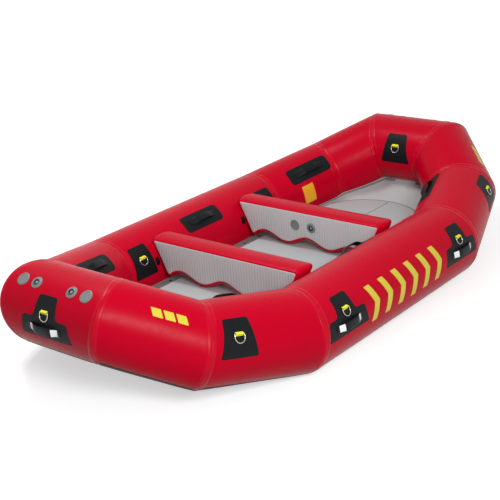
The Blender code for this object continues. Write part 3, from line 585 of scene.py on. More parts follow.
def grab_places():
    """Each strap inside the raft: its name, the tube, the side of it, place and angle."""
    places = []
    for side in ("starboard", "port"):
        beam = panels["side_" + side]
        places.append(("midship_" + side, beam, -1, beam.length / 2, 48.0))
        for end in ("bow", "stern"):
            places.append((end + "_" + side, panels["kick_" + end + "_" + side], -1, 0.365, 44.5))
    return places


pads = {"tow": cut_sheet(tow_outline(), PAD_THICKNESS),
        "tapered": cut_sheet(tapered_outline(0.111), PAD_THICKNESS),
        "narrow": cut_sheet(tapered_outline(0.093), PAD_THICKNESS),
        "grab": cut_sheet(oblong(*GRAB_PAD, 0.027), PAD_THICKNESS)}
ring_bed = cut_sheet(oblong(*RING_BED, 0.006), 0.0006, PAD_THICKNESS)
for name, kind, *spot in ring_places():
    pad = add_piece("pad_" + name, lay_on("pad", pads[kind], *spot), black_pvc)
    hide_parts("patch_" + name)
    add_piece("ring_bed_" + name, lay_on("bed", ring_bed, *spot), black_pvc)
for name, *spot in grab_places():
    mesh = lay_on("pad", pads["grab"], *spot)
    pad = add_piece("pad_grab_" + name, mesh, black_pvc)
    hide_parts("handle_" + name)


# Carrying straps
# A flat tube of black coated webbing over a foam core, welded down at both ends and arched clear
# of its pad so that a hand goes under. The ones outside the raft have white reflective ends.
STRAP_HALF_WIDTH = 0.020
# Side view of half the strap: distance from its middle, and height over the tube.
STRAP_LINE = [(0.0, 0.0270), (0.026, 0.0267), (0.044, 0.0255), (0.056, 0.0230), (0.065, 0.0185),
              (0.074, 0.0128), (0.083, 0.0074), (0.092, 0.0042), (0.103, 0.0031), (0.116, 0.0029)]
STRAP_BACK = 0.0016
STRAP_CROWN = 0.0030
STRAP_END = 0.012
TOW_STRAP_DROP = 0.0856
REFLECTOR = (0.064, 0.097)
REFLECTOR_LIFT = 0.0007


def strap_height(x):
    for (x0, z0), (x1, z1) in zip(STRAP_LINE, STRAP_LINE[1:]):
        if abs(x) <= x1:
            return between(z0, z1, (abs(x) - x0) / (x1 - x0))
    return STRAP_LINE[-1][1]


def strap_level(x):
    """Height of the strap's middle line, with the stations of its side view smoothed over."""
    return sum(strap_height(x + step) for step in (-0.006, -0.003, 0.0, 0.003, 0.006)) / 5


def bent(wave, power):
    """A wave with its humps made fuller, which squares a round section up."""
    return math.copysign(abs(wave) ** power, wave)


def closed(mesh, fill=False):
    """The mesh with its seams and gathered ends joined, open ends filled on request, and its faces
    turned outwards."""
    bm = bmesh.new()
    bm.from_mesh(mesh)
    bmesh.ops.remove_doubles(bm, verts=bm.verts, dist=0.00001)
    if fill:
        bmesh.ops.holes_fill(bm, edges=[edge for edge in bm.edges if edge.is_boundary], sides=0)
    bmesh.ops.recalc_face_normals(bm, faces=bm.faces)
    bm.to_mesh(mesh)
    bm.free()
    return mesh


def strap_mesh(drop=0.0):
    """Sleeve of lens-shaped sections along the arch, closed at both ends."""
    half_span = STRAP_LINE[-1][0]
    rows = []
    for share, rim in rimmed(48):
        x = between(-half_span, half_span, share)
        level = strap_level(x)
        crown = STRAP_CROWN * between(0.35, 1.0, min(1.0, (half_span - abs(x)) / STRAP_END))
        row = []
        for turn in circle(20):
            across = 0.0 if rim else bent(math.cos(turn), 0.6)
            rise = 0.0 if rim else bent(math.sin(turn), 0.8)
            z = max(level + (crown if rise > 0 else STRAP_BACK) * rise, PAD_THICKNESS - 0.0006)
            row.append(Vector((x, across * STRAP_HALF_WIDTH - drop, z)))
        rows.append(row)
    return closed(grid_mesh("strap", rows, True, (0.0042, 0.004)))


# Coated nylon webbing: black, tightly woven across its width, with a satin face. Its picks,
# 1 mm apart, are drawn 2.2 mm apart to show.
strap_webbing, strap_shader = new_material("coated_nylon_webbing_black",
                                           {"IOR": 1.53, "Specular IOR Level": 0.11})
spots = add_node(strap_webbing, "TexCoord")
ribs = add_node(strap_webbing, "TexWave",
                {"bands_direction": "X", "Scale": WAVE / 0.0022, "Distortion": 0.4},
                {"Vector": (spots, "UV")})
cloud = add_node(strap_webbing, "TexNoise", {"Scale": 1 / 0.022, "Detail": 4.0},
                 {"Vector": (spots, "Object")})
finish(strap_webbing, strap_shader, tint=("#0A0B0D", "#131518", (cloud, "Fac")),
       gloss=(0.34, 0.48, (cloud, "Fac")), relief=(0.3, 0.0003, (ribs, "Fac")))

# Retroreflective tape: glass beads in a clear film, white with a fine grain. The beads, less
# than 0.1 mm across, are drawn 1.1 mm across to show.
white_tape, tape_shader = new_material("glass_bead_tape_white", {"IOR": 1.5})
spots = add_node(white_tape, "TexCoord")
beads = add_node(white_tape, "TexVoronoi", {"Scale": 1 / 0.0011}, {"Vector": (spots, "Object")})
finish(white_tape, tape_shader, tint=("#E4E6E8", "#F6F7F8", (beads, "Distance")),
       gloss=(0.25, 0.45, (beads, "Distance")), relief=(0.1, 0.0002, (beads, "Distance")))


def reflector_mesh(side, drop):
    """Square of tape that lies on the strap's crown where it comes down to the pad."""
    rows = []
    for share, end_rim in rimmed(8):
        x = side * between(*REFLECTOR, share)
        row = []
        for step, side_rim in rimmed(8):
            across = between(-0.88, 0.88, step)
            lift = -RIM_SINK if end_rim or side_rim else REFLECTOR_LIFT
            crown = STRAP_CROWN * (1 - abs(across) ** (10 / 3)) ** 0.4
            row.append(Vector((x, across * STRAP_HALF_WIDTH - drop, strap_level(x) + crown + lift)))
        rows.append(row)
    mesh = grid_mesh("reflector", rows)
    turn_out(mesh, lambda spot: UP)
    return mesh


tow_strap, grab_strap = strap_mesh(TOW_STRAP_DROP), strap_mesh()
for name, kind, *spot in ring_places():
    if kind == "tow":
        add_piece("strap_" + name, lay_on("strap", tow_strap, *spot), strap_webbing)
        for side in (-1, 1):
            mesh = lay_on("reflector", reflector_mesh(side, TOW_STRAP_DROP), *spot)
            add_piece("reflector_" + name + "_%d" % (side > 0), mesh, white_tape)
for name, *spot in grab_places():
    mesh = lay_on("strap", grab_strap, *spot)
    add_piece("strap_grab_" + name, mesh, strap_webbing)


# Lashing rings
# Welded D-rings of stainless wire, 5.4 mm thick, each held by its straight bar in a loop of
# yellow polyester webbing that is sewn to the pad. The ring swings on its bar.
WIRE_RADIUS = 0.0027
RING_HALF_WIDTH = 0.0285
RING_LEG = 0.018
RING_BEND = 0.0042
RING_TILT = math.radians(5.0)
BAR_HEIGHT = 0.0064
BAR_HALF = 0.0238
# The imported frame's gap between pieces, and how far out the middle of one of its facets lies.
CAD_GAP = 0.0003
CAD_SHARE = math.cos(math.pi / 36)
LOOP_HALF_WIDTH = 0.0225
LOOP_HALF_THICKNESS = 0.0007
LOOP_SIDE = [(0.0098, 0.0022), (0.0080, 0.0026), (0.0062, 0.0044), (0.0048, 0.0074),
             (0.0028, 0.0101)]
LOOP_TOP = (0.0, 0.0109)


def ring_line():
    """Centre line of the ring in its own plane, the bar on X and the bow towards -Y."""
    corner = [(RING_HALF_WIDTH + RING_BEND * (math.sin(turn) - 1), RING_BEND * (math.cos(turn) - 1))
              for turn in circle(24)[:7]]
    bow = [(RING_HALF_WIDTH * math.cos(turn), -RING_LEG - RING_HALF_WIDTH * math.sin(turn))
           for turn in circle(48)[:25]]
    line = corner + bow + [(-x, y) for x, y in corner[::-1]]
    return [Vector((x, y, 0.0)) for x, y in line]


def swept(name, line, radius, sides=12):
    """Round wire along a closed line in the XY plane."""
    rows = []
    for index, here in enumerate(line):
        ahead = (line[(index + 1) % len(line)] - line[index - 1]).normalized()
        outward = ahead.cross(UP)
        rows.append([here + (outward * math.cos(turn) + UP * math.sin(turn)) * radius
                     for turn in circle(sides)])
    return closed(grid_mesh(name, rows + [rows[0]], True, (0.004, 0.0016)))


def bar_frame(panel, facing, along, degrees):
    """Frame at the middle of a ring's bar: X along the bar, Y up the tube, Z out of it. The bar
    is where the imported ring's hinge is."""
    angle = math.radians(degrees)
    turn = angle if facing == 1 else math.pi - angle
    normal = panel.normal(turn)
    upward = panel.normal(turn + facing * math.pi / 2)
    ends = [panel.start + panel.axis * spot
            + normal * (panel.radius(spot) * CAD_SHARE + CAD_GAP + BAR_HEIGHT)
            for spot in (along - BAR_HALF, along + BAR_HALF)]
    bar = (ends[1] - ends[0]).normalized()
    if bar.dot(upward.cross(normal)) < 0:
        bar.negate()
    normal = bar.cross(upward).normalized()
    upward = normal.cross(bar)
    turned_to = Matrix((bar, upward, normal)).transposed().to_4x4()
    return Matrix.Translation((ends[0] + ends[1]) / 2) @ turned_to


def loop_mesh():
    """Strip of webbing over the bar: a thin closed section swept across the ring's width."""
    line = [Vector((-y, z)) for y, z in LOOP_SIDE] + [Vector(LOOP_TOP)]
    line += [Vector(place) for place in LOOP_SIDE[::-1]]
    outer, inner = [], []
    for index, here in enumerate(line):
        run = (line[min(index + 1, len(line) - 1)] - line[max(index - 1, 0)]).normalized()
        offset = Vector((-run.y, run.x)) * LOOP_HALF_THICKNESS
        outer.append(here + offset)
        inner.append(here - offset)
    rows = [[Vector((LOOP_HALF_WIDTH * (i / 6 - 1), y, z)) for y, z in outer + inner[::-1]]
            for i in range(13)]
    return closed(grid_mesh("loop", rows, True, lambda i, j: (0.0016 * j, 0.00375 * i)), True)


# Stainless wire, drawn and tumbled: a soft bright grey with a faint mottle from the tumbling.
steel, steel_shader = new_material("drawn_stainless_steel", {"Metallic": 1.0})
spots = add_node(steel, "TexCoord")
cloud = add_node(steel, "TexNoise", {"Scale": 1 / 0.0026, "Detail": 3.0},
                 {"Vector": (spots, "Object")})
finish(steel, steel_shader, tint=("#A79F93", "#C0B8AC", (cloud, "Fac")),
       gloss=(0.18, 0.34, (cloud, "Fac")), relief=(0.05, 0.0001, (cloud, "Fac")))

# Polyester webbing, dyed yellow: a twill with the dull face of spun thread. Its ribs, 1 mm
# apart, are drawn 1.6 mm apart to show.
yellow_webbing, webbing_shader = new_material("woven_polyester_webbing_yellow", {"IOR": 1.5})
spots = add_node(yellow_webbing, "TexCoord")
ribs = add_node(yellow_webbing, "TexWave", {"bands_direction": "DIAGONAL", "Scale": WAVE / 0.0016},
                {"Vector": (spots, "UV")})
finish(yellow_webbing, webbing_shader, tint=("#D6D60E", "#F0F02A", (ribs, "Fac")),
       gloss=(0.6, 0.75, (ribs, "Fac")), relief=(0.4, 0.0003, (ribs, "Fac")))


def set_at(mesh, place):
    """A copy of the mesh, moved from the middle of the scene to its place."""
    made = mesh.copy()
    made.transform(place)
    return made


ring_mesh, webbing_loop = swept("ring", ring_line(), WIRE_RADIUS), loop_mesh()
for name, kind, *spot in ring_places():
    mesh = set_at(ring_mesh, bar_frame(*spot) @ Matrix.Rotation(RING_TILT, 4, "X"))
    ring = add_piece("wire_" + name, mesh, steel, "ring_" + name)
    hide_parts("ring_" + name)
    mesh = lay_on("loop", webbing_loop, *spot)
    add_piece("webbing_loop_" + name, mesh, yellow_webbing)


# Air valves
# Moulded grey nylon fittings clamped through the skin. An inflation valve is a flange round a
# well with a dark blue seat ring and a spring push button; a relief valve is a low grille cap.
# The seat's near-black blue runs down the well's walls too: partly the ring's own colour and
# partly painted shade in the well.
VALVE_SIDES = 64
WELL_RADIUS = 0.0165
PLUNGER_HEAD_RADIUS = 0.0095
PLUNGER_RECESS = 0.003
PLUNGER_HEAD_THICKNESS = 0.003
STEM_RADIUS = 0.0042
BARREL_DEPTH = 0.032
SEAL_RADIUS = 0.011
SEAL_THICKNESS = 0.003
RELIEF_RADIUS = 0.036
DISH_RADIUS = 0.0282
LOUVRE_PITCH = 0.0072
LOUVRE_HALF_WIDTH = 0.0024
VALVE_TURN = math.radians(54.8)
FACET_TURN = math.radians(50.0)
WELL_HOLE = 0.022
VALVE_FROM_CENTRE = 0.1257
RELIEF_FROM_CENTRE = 0.2266


def turned(name, profile):
    """A turned shape about Z from its profile of radius and height, smooth between sharp edges."""
    rows = [[Vector((radius * math.cos(turn), radius * math.sin(turn), height))
             for turn in circle(VALVE_SIDES)] for radius, height in profile]
    return smoothed(closed(grid_mesh(name, rows, True)), 40)


def frame_at(origin, normal, along):
    """Frame with Z out along a normal and X as near as it can to a direction."""
    side = normal.cross(along).normalized()
    forward = side.cross(normal).normalized()
    return Matrix.Translation(origin) @ Matrix((forward, side, normal)).transposed().to_4x4()


def open_skin(piece, frames, reach):
    """Cuts a round hole under each valve; the flange hides its edge."""
    bm = bmesh.new()
    bm.from_mesh(piece.data)
    for place in frames:
        inside = [face for face in bm.faces
                  if (face.calc_center_median() - place.translation).length < reach]
        bmesh.ops.delete(bm, geom=inside, context="FACES")
        for vert in bm.verts:
            offset = place.inverted() @ vert.co
            if vert.is_boundary and offset.length < 1.6 * reach:
                offset.xy = offset.xy.normalized() * reach
                vert.co = place @ offset
    bm.to_mesh(piece.data)
    bm.free()


# Glass-filled nylon, moulded: mid grey with a slightly mottled, low gloss.
grey_nylon, nylon_shader = new_material("moulded_nylon_grey", {"IOR": 1.53})
spots = add_node(grey_nylon, "TexCoord")
cloud = add_node(grey_nylon, "TexNoise", {"Scale": 1 / 0.0062, "Detail": 5.0},
                 {"Vector": (spots, "Object")})
finish(grey_nylon, nylon_shader, tint=("#656A68", "#7A7F7C", (cloud, "Fac")),
       gloss=(0.34, 0.52, (cloud, "Fac")), relief=(0.15, 0.0002, (cloud, "Fac")))

# Acetal, moulded: a near-black blue with the greasy gloss of a bearing plastic. The near-black
# is partly painted shade of the well that the seat lines.
navy_seat_and_well_shade, acetal_shader = new_material("moulded_acetal_navy", {"IOR": 1.48})
spots = add_node(navy_seat_and_well_shade, "TexCoord")
cloud = add_node(navy_seat_and_well_shade, "TexNoise", {"Scale": 1 / 0.0083, "Detail": 3.0},
                 {"Vector": (spots, "Object")})
finish(navy_seat_and_well_shade, acetal_shader, tint=("#161A2C", "#20263C", (cloud, "Fac")),
       gloss=(0.25, 0.4, (cloud, "Fac")), relief=(0.1, 0.0001, (cloud, "Fac")))

# Moulded polypropylene, a pale grey, for the push button: waxy and slightly rough.
pale_button, button_shader = new_material("moulded_polypropylene_pale", {"IOR": 1.49})
spots = add_node(pale_button, "TexCoord")
cloud = add_node(pale_button, "TexNoise", {"Scale": 1 / 0.0071, "Detail": 3.0},
                 {"Vector": (spots, "Object")})
finish(pale_button, button_shader, tint=("#7E8286", "#95999D", (cloud, "Fac")),
       gloss=(0.35, 0.5, (cloud, "Fac")), relief=(0.1, 0.0001, (cloud, "Fac")))

flange_profile = [(0.0312, -0.0060), (0.0325, -0.0050), (0.0325, 0.0012), (0.0318, 0.0024),
                  (0.0304, 0.0031), (0.0268, 0.0034), (0.0262, 0.0028), (0.0254, 0.0028),
                  (0.0248, 0.0035), (0.0212, 0.0042), (0.0184, 0.0052), (0.0180, 0.0040)]
seat_profile = [(0.0182, 0.0040), (0.0181, 0.0060), (0.0174, 0.0068), (0.0130, 0.0068),
                (0.0112, 0.0060), (0.0107, 0.0046), (0.0107, -0.0010), (WELL_RADIUS, -0.0016),
                (WELL_RADIUS, -0.0270), (STEM_RADIUS + CAD_GAP, -0.0280),
                (STEM_RADIUS + CAD_GAP, -BARREL_DEPTH)]
cap_profile = [(0.0345, -0.0060), (RELIEF_RADIUS, -0.0050), (RELIEF_RADIUS, 0.0006),
               (0.0352, 0.0022), (0.0334, 0.0034), (0.0300, 0.0040), (0.0294, 0.0024),
               (0.0180, 0.0023), (0.0, 0.0022)]
head_under = -PLUNGER_RECESS - PLUNGER_HEAD_THICKNESS
seal_top = -BARREL_DEPTH - CAD_GAP
plunger_profile = [(0.0, 0.0046), (0.0050, 0.0044), (0.0076, 0.0036), (0.0086, 0.0022),
                   (0.0088, 0.0), (PLUNGER_HEAD_RADIUS, -PLUNGER_RECESS),
                   (PLUNGER_HEAD_RADIUS, head_under), (STEM_RADIUS, head_under),
                   (STEM_RADIUS, seal_top), (SEAL_RADIUS, seal_top),
                   (SEAL_RADIUS, seal_top - SEAL_THICKNESS), (0.0, seal_top - SEAL_THICKNESS)]
flange_mesh, seat_mesh = turned("flange", flange_profile), turned("seat", seat_profile)
cap_mesh, plunger_mesh = turned("cap", cap_profile), turned("plunger", plunger_profile)


def louvre_mesh():
    """Seven raised bars across the cap's dish, as one mesh of rounded strips."""
    bm = bmesh.new()
    for number in range(-3, 4):
        middle = LOUVRE_PITCH * number
        left, right = middle - LOUVRE_HALF_WIDTH, middle + LOUVRE_HALF_WIDTH
        end = math.sqrt(DISH_RADIUS ** 2 - middle ** 2)
        outline = rounded([(left, -end), (right, -end), (right, end), (left, end)], [0.0020] * 4, 4)
        face = bm.faces.new([bm.verts.new((x, y, 0.0018)) for x, y in outline])
        bmesh.ops.inset_individual(bm, faces=[face], thickness=0.0006, depth=0.0026,
                                   use_even_offset=True)
    bmesh.ops.recalc_face_normals(bm, faces=bm.faces)
    return smoothed(made_mesh(bm, "louvres"), 40)


louvres = louvre_mesh()


def fit_inflation_valve(tag, place):
    add_piece("valve_flange_" + tag, set_at(flange_mesh, place), grey_nylon)
    # The seat's near-black blue is partly painted shade in the well.
    add_piece("valve_seat_" + tag, set_at(seat_mesh, place), navy_seat_and_well_shade)
    plunger = "valve_plunger_" + tag
    button = add_piece("button_" + tag, set_at(plunger_mesh, place), pale_button,
                       plunger)
    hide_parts(plunger)


def fit_relief_valve(tag, place):
    add_piece("relief_cap_" + tag, set_at(cap_mesh, place), grey_nylon)
    add_piece("relief_louvres_" + tag, set_at(louvres, place), grey_nylon)


for end in ("bow", "stern"):
    panel = panels[end]
    normal = panel.normal(VALVE_TURN)
    wells = []
    for side, sign in (("starboard", -1), ("port", 1)):
        for reach in (VALVE_FROM_CENTRE, RELIEF_FROM_CENTRE):
            along = panel.length / 2 + sign * reach
            radius = panel.radius(along) * CAD_SHARE / math.cos(VALVE_TURN - FACET_TURN)
            place = frame_at(panel.start + panel.axis * along + normal * radius, normal, panel.axis)
            if reach == VALVE_FROM_CENTRE:
                fit_inflation_valve(end + "_" + side, place)
                wells.append(place)
            else:
                fit_relief_valve(end + "_" + side, place)
    open_skin(bpy.data.objects["skin_" + end], wells, WELL_HOLE)


# Floor
# A drop-stitched panel 115 mm thick, blown up flat and hard, of grey coated cloth with a welded
# cover seam all round its edge and another down its middle near the ends. Its ends rise a little.
FLOOR_TOP = 0.178
FLOOR_THICKNESS = 0.115
FLOOR_HALF_WIDTH = 0.430
FLOOR_STRAIGHT = 0.760
FLOOR_SHOULDER = (1.020, 0.370)
FLOOR_END_REACH = 0.316
FLOOR_RISE = 0.027
FLOOR_EDGE = 0.020
FLOOR_SIDE_SWELL = 0.004
FLOOR_RELIEF_X = -1.15


def floor_rise(x):
    """How far the panel bends up towards its ends."""
    share = (abs(x) - FLOOR_STRAIGHT) / (FLOOR_SHOULDER[0] - FLOOR_STRAIGHT)
    share = min(max(share, 0.0), 1.0)
    return FLOOR_RISE * share * share * (3 - 2 * share)


def floor_quarter(grow, arcs=28, straights=20):
    """Outline of a quarter of the panel from midship to the end, grown sideways."""
    shoulder_x, shoulder_y = FLOOR_SHOULDER
    points = [(FLOOR_STRAIGHT * k / straights, FLOOR_HALF_WIDTH) for k in range(straights)]
    points += [(between(FLOOR_STRAIGHT, shoulder_x, k / 8),
                between(FLOOR_HALF_WIDTH, shoulder_y, k / 8)) for k in range(8)]
    points = [(x, y + grow) for x, y in points]
    for turn in circle(4 * arcs)[:arcs + 1]:
        points.append((shoulder_x + (FLOOR_END_REACH + grow) * math.sin(turn),
                       (shoulder_y + grow) * math.cos(turn)))
    return points


def mirrored_loop(quarter):
    """The whole outline from its quarter, without the places on its middle lines twice."""
    half = quarter + [(x, -y) for x, y in quarter[::-1][1:]]
    return half + [(-x, y) for x, y in half[::-1][1:-1]]


def floor_mesh():
    """Rings of the outline from the middle out over the rounded edge and under, as one skin."""
    quarter_turn = circle(32)[:9]
    sections = [(-0.16, 0.0), (-0.08, -0.0004), (-0.050, -0.0008), (-0.034, -0.0014)]
    sections += [(-FLOOR_EDGE * (1 - math.sin(turn)), -FLOOR_EDGE * (1 - math.cos(turn)) - 0.0016)
                 for turn in quarter_turn]
    sections += [(FLOOR_SIDE_SWELL * math.sin(math.pi * k / 8),
                  between(-FLOOR_EDGE, FLOOR_EDGE - FLOOR_THICKNESS, k / 8)) for k in range(1, 8)]
    sections += [(-FLOOR_EDGE * (1 - math.cos(turn)),
                  -FLOOR_THICKNESS + FLOOR_EDGE * (1 - math.sin(turn))) for turn in quarter_turn]
    outlines = [(mirrored_loop(floor_quarter(grow)), drop) for grow, drop in sections]
    middle = [(x, 0.0) for x, _ in outlines[0][0]]
    outlines = [(middle, 0.0)] + outlines + [(middle, -FLOOR_THICKNESS)]
    rows = [[Vector((x, y, FLOOR_TOP + drop + floor_rise(x))) for x, y in outline]
            for outline, drop in outlines]
    return grid_mesh("floor", rows, True)


# Grey PVC on polyester over drop stitch: a matt film whose skin is dimpled by the rows of
# threads that hold it flat, 8 mm apart in the real one and drawn 10 mm apart to show.
grey_pvc, grey_shader = new_material("pvc_coated_polyester_grey",
                                     {"IOR": 1.53, "Specular IOR Level": 0.15})
STITCH = 0.010
spots = add_node(grey_pvc, "TexCoord")
rows_ahead, rows_across = (
    add_node(grey_pvc, "TexWave",
             {"bands_direction": way, "Scale": WAVE / STITCH, "Distortion": 0.3},
             {"Vector": (spots, "Object")}) for way in ("X", "Y"))
pits = add_node(grey_pvc, "Math", {"operation": "MULTIPLY"},
                {0: (rows_ahead, "Fac"), 1: (rows_across, "Fac")})
cloud = add_node(grey_pvc, "TexNoise", {"Scale": 1 / 0.25, "Detail": 5.0, "Roughness": 0.6},
                 {"Vector": (spots, "Object")})
finish(grey_pvc, grey_shader, tint=("#A9AEAF", "#B5BABB", (cloud, "Fac")),
       gloss=(0.46, 0.60, (cloud, "Fac")), relief=(0.22, 0.0010, (pits, 0)),
       spread=(0.3, 0.7))

mesh = floor_mesh()
turn_out(mesh, lambda spot: UP * (spot.z - FLOOR_TOP + FLOOR_THICKNESS / 2 - floor_rise(spot.x)))
floor = add_piece("floor_cover", mesh, grey_pvc)
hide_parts("floor_panel")
valve_level = FLOOR_TOP + floor_rise(FLOOR_RELIEF_X) + 0.0002
fit_relief_valve("floor", Matrix.Translation((FLOOR_RELIEF_X, 0.0, valve_level)))

# A cover seam is a narrow tape of the same cloth, drawn much darker than the floor.
seam_grey, seam_shader = new_material("welded_seam_tape_grey", {"IOR": 1.53})
spots = add_node(seam_grey, "TexCoord")
cloud = add_node(seam_grey, "TexNoise", {"Scale": 1 / 0.055, "Detail": 4.0},
                 {"Vector": (spots, "Object")})
finish(seam_grey, seam_shader, tint=("#5E5B5D", "#767274", (cloud, "Fac")),
       gloss=(0.45, 0.6, (cloud, "Fac")), relief=(0.15, 0.0003, (cloud, "Fac")))


def floor_tape(name, line, half_width, drop=0.0):
    """Thin strip that lies on the floor's top along a line of X and Y."""
    rows = []
    for across, lift in ((-1.0, -0.0009), (-0.85, 0.0004), (0.0, 0.0006), (0.85, 0.0004),
                         (1.0, -0.0009)):
        row = []
        for index, here in enumerate(line):
            ahead = (line[min(index + 1, len(line) - 1)] - line[max(index - 1, 0)]).normalized()
            spot = here + Vector((-ahead.y, ahead.x)) * half_width * across
            row.append(Vector((spot.x, spot.y, FLOOR_TOP + floor_rise(spot.x) - drop + lift)))
        rows.append(row)
    mesh = grid_mesh(name, rows)
    turn_out(mesh, lambda spot: UP)
    return mesh


for end, sign in (("bow", 1), ("stern", -1)):
    line = [Vector((sign * between(0.98, 1.29, k / 20), 0.0)) for k in range(21)]
    mesh = floor_tape("seam", line, 0.0035)
    add_piece("floor_centre_seam_" + end, mesh, seam_grey)
line = [Vector(place) for place in mirrored_loop(floor_quarter(-FLOOR_EDGE))]
mesh = floor_tape("seam", line + line[:1], 0.004, 0.0012)
add_piece("floor_edge_seam", mesh, seam_grey)


# Floor skirt
# Coated cloth between the floor's edge and the tubes: a dark mesh band with brass eyelets down
# each side, their holes filled with painted shade, and a light apron with a dark band along its
# outer edge at each end, partly the band's own colour and partly painted shade under the tubes.
SKIRT_DROP = 0.022
SKIRT_LIFT = 0.0022
SKIRT_TUCK = 0.0062
SKIRT_SAG = 0.004
SKIRT_COLUMNS = 12
SKIRT_COLUMN_STEP = 0.008
# Degrees round the inside of a side, a kick and an end tube at which the skirt meets it.
SKIRT_TURNS = (-19.0, -34.0, -69.0)
SIDE_BAND_END = 3.35  # the station at which the side's band gives way to the apron
EYELET_SPACING = 0.145


def off_tubes(place):
    """Moves a place out of every tube that it is in, to a small lift above the skin."""
    place = Vector(place)
    for _ in range(4):
        for panel in panels.values():
            along, radial = panel.beside(place)
            if -panel.first_radius < along < panel.length + panel.last_radius:
                short = panel.radius(along) * SKIN_SHARE + SKIRT_LIFT - radial.length
                if short > 0:
                    place += radial.normalized() * short
    return place


def tucked(place):
    """The place moved into the nearest tube's skin, so that no gap shows behind the edge."""
    near = []
    for panel in panels.values():
        along, radial = panel.beside(place)
        if -0.05 < along < panel.length + 0.05:
            near.append((radial.length - panel.radius(along), radial.normalized()))
    return place - min(near, key=lambda pair: pair[0])[1] * SKIRT_TUCK


def floor_edge(station):
    """Place on the floor panel's outline on the port bow quarter, from station 0 to 9."""
    shoulder_x, shoulder_y = FLOOR_SHOULDER
    if station < 2:
        x, y = FLOOR_STRAIGHT * station / 2, FLOOR_HALF_WIDTH
    elif station < 4:
        share = (station - 2) / 2
        x = between(FLOOR_STRAIGHT, shoulder_x, share)
        y = between(FLOOR_HALF_WIDTH, shoulder_y, share)
    else:
        turn = math.pi / 2 * (station - 4) / 5
        x, y = shoulder_x + FLOOR_END_REACH * math.sin(turn), shoulder_y * math.cos(turn)
    return Vector((x, y, FLOOR_TOP - SKIRT_DROP + floor_rise(x)))


def skirt_stations():
    """Outer edge of the skirt on the port bow quarter, one place for each station of the floor:
    the tube, the share of its length, and the stage between the skirt's turns."""
    beam, kick = panels["side_port"], panels["kick_bow_port"]
    corner, bow = panels["corner_bow_port"], panels["bow"]
    runs = [(beam, 0.5, 0.0), (beam, 0.75, 0.0), (beam, 0.965, 0.0),
            (kick, 0.28, 0.3), (kick, 0.54, 0.6), (kick, 0.84, 0.9),
            (corner, 0.14, 1.14), (corner, 0.46, 1.46), (corner, 0.84, 1.84), (bow, 0.5, 2.0)]
    places = []
    for panel, share, stage in runs:
        first = min(int(stage), 1)
        degrees = between(SKIRT_TURNS[first], SKIRT_TURNS[first + 1], stage - first)
        along = panel.length * share
        normal = panel.normal(math.pi - math.radians(degrees))
        reach = panel.radius(along) * SKIN_SHARE + SKIRT_LIFT
        places.append(panel.start + panel.axis * along + normal * reach)
    places[0].x = 0.0
    places[-1].y = 0.0
    return places


def skirt_strip(first, last, steps):
    """Rows of places over the band from station first to last, from the floor out to the tubes."""
    stations = skirt_stations()
    rows = []
    for k in range(steps + 1):
        station = between(first, last, k / steps)
        index = min(int(station), 8)
        outer = off_tubes(stations[index].lerp(stations[index + 1], station - index))
        inner = floor_edge(station)
        row = []
        for j in range(SKIRT_COLUMNS + 1):
            share = j / SKIRT_COLUMNS
            spot = inner.lerp(outer, share)
            spot.z -= SKIRT_SAG * math.sin(math.pi * share)
            row.append(off_tubes(spot) if share > 0.5 else spot)
        rows.append(row + [tucked(row[-1])])
    return rows


def mirrored(rows, x_sign, y_sign):
    """The rows turned over to another quarter of the raft."""
    return [[Vector((x_sign * place.x, y_sign * place.y, place.z)) for place in row]
            for row in rows]


# Dark grey PVC-coated mesh, thin and flexible, with the weave of the cloth showing. Its
# threads, 1.5 mm apart, are drawn 3 mm apart to show.
dark_mesh, dark_shader = new_material("pvc_coated_mesh_grey", {"IOR": 1.5})
spots = add_node(dark_mesh, "TexCoord")
weft, warp = (add_node(dark_mesh, "TexWave", {"bands_direction": way, "Scale": WAVE / 0.003},
                       {"Vector": (spots, "UV")}) for way in ("X", "Y"))
weave = add_node(dark_mesh, "Math", {"operation": "MULTIPLY"}, {0: (weft, "Fac"), 1: (warp, "Fac")})
cloud = add_node(dark_mesh, "TexNoise", {"Scale": 1 / 0.083, "Detail": 4.0},
                 {"Vector": (spots, "Object")})
finish(dark_mesh, dark_shader, tint=("#757C7B", "#858C8B", (cloud, "Fac")),
       gloss=(0.45, 0.62, (cloud, "Fac")), relief=(0.3, 0.0005, (weave, 0)))

# Spun brass, plated dull: the eyelets' metal, dark where the water has stood.
eyelet_brass, brass_shader = new_material("plated_brass_dull", {"Metallic": 1.0})
spots = add_node(eyelet_brass, "TexCoord")
cloud = add_node(eyelet_brass, "TexNoise", {"Scale": 1 / 0.0048, "Detail": 3.0},
                 {"Vector": (spots, "Object")})
finish(eyelet_brass, brass_shader, tint=("#6F6B62", "#96917F", (cloud, "Fac")),
       gloss=(0.28, 0.45, (cloud, "Fac")), relief=(0.08, 0.0001, (cloud, "Fac")))

eyelet = turned("eyelet", [(0.0068, 0.0), (0.0078, 0.0008), (0.0094, 0.0011), (0.0108, 0.0008),
                           (0.0114, -RIM_SINK)])
# A flat black disc in each eyelet's hole: painted shade in the hole, over cloth that is not cut.
drain = turned("drain", [(0.0070, 0.0002), (0.0, 0.0001)])
AHEAD = Vector((1.0, 0.0, 0.0))

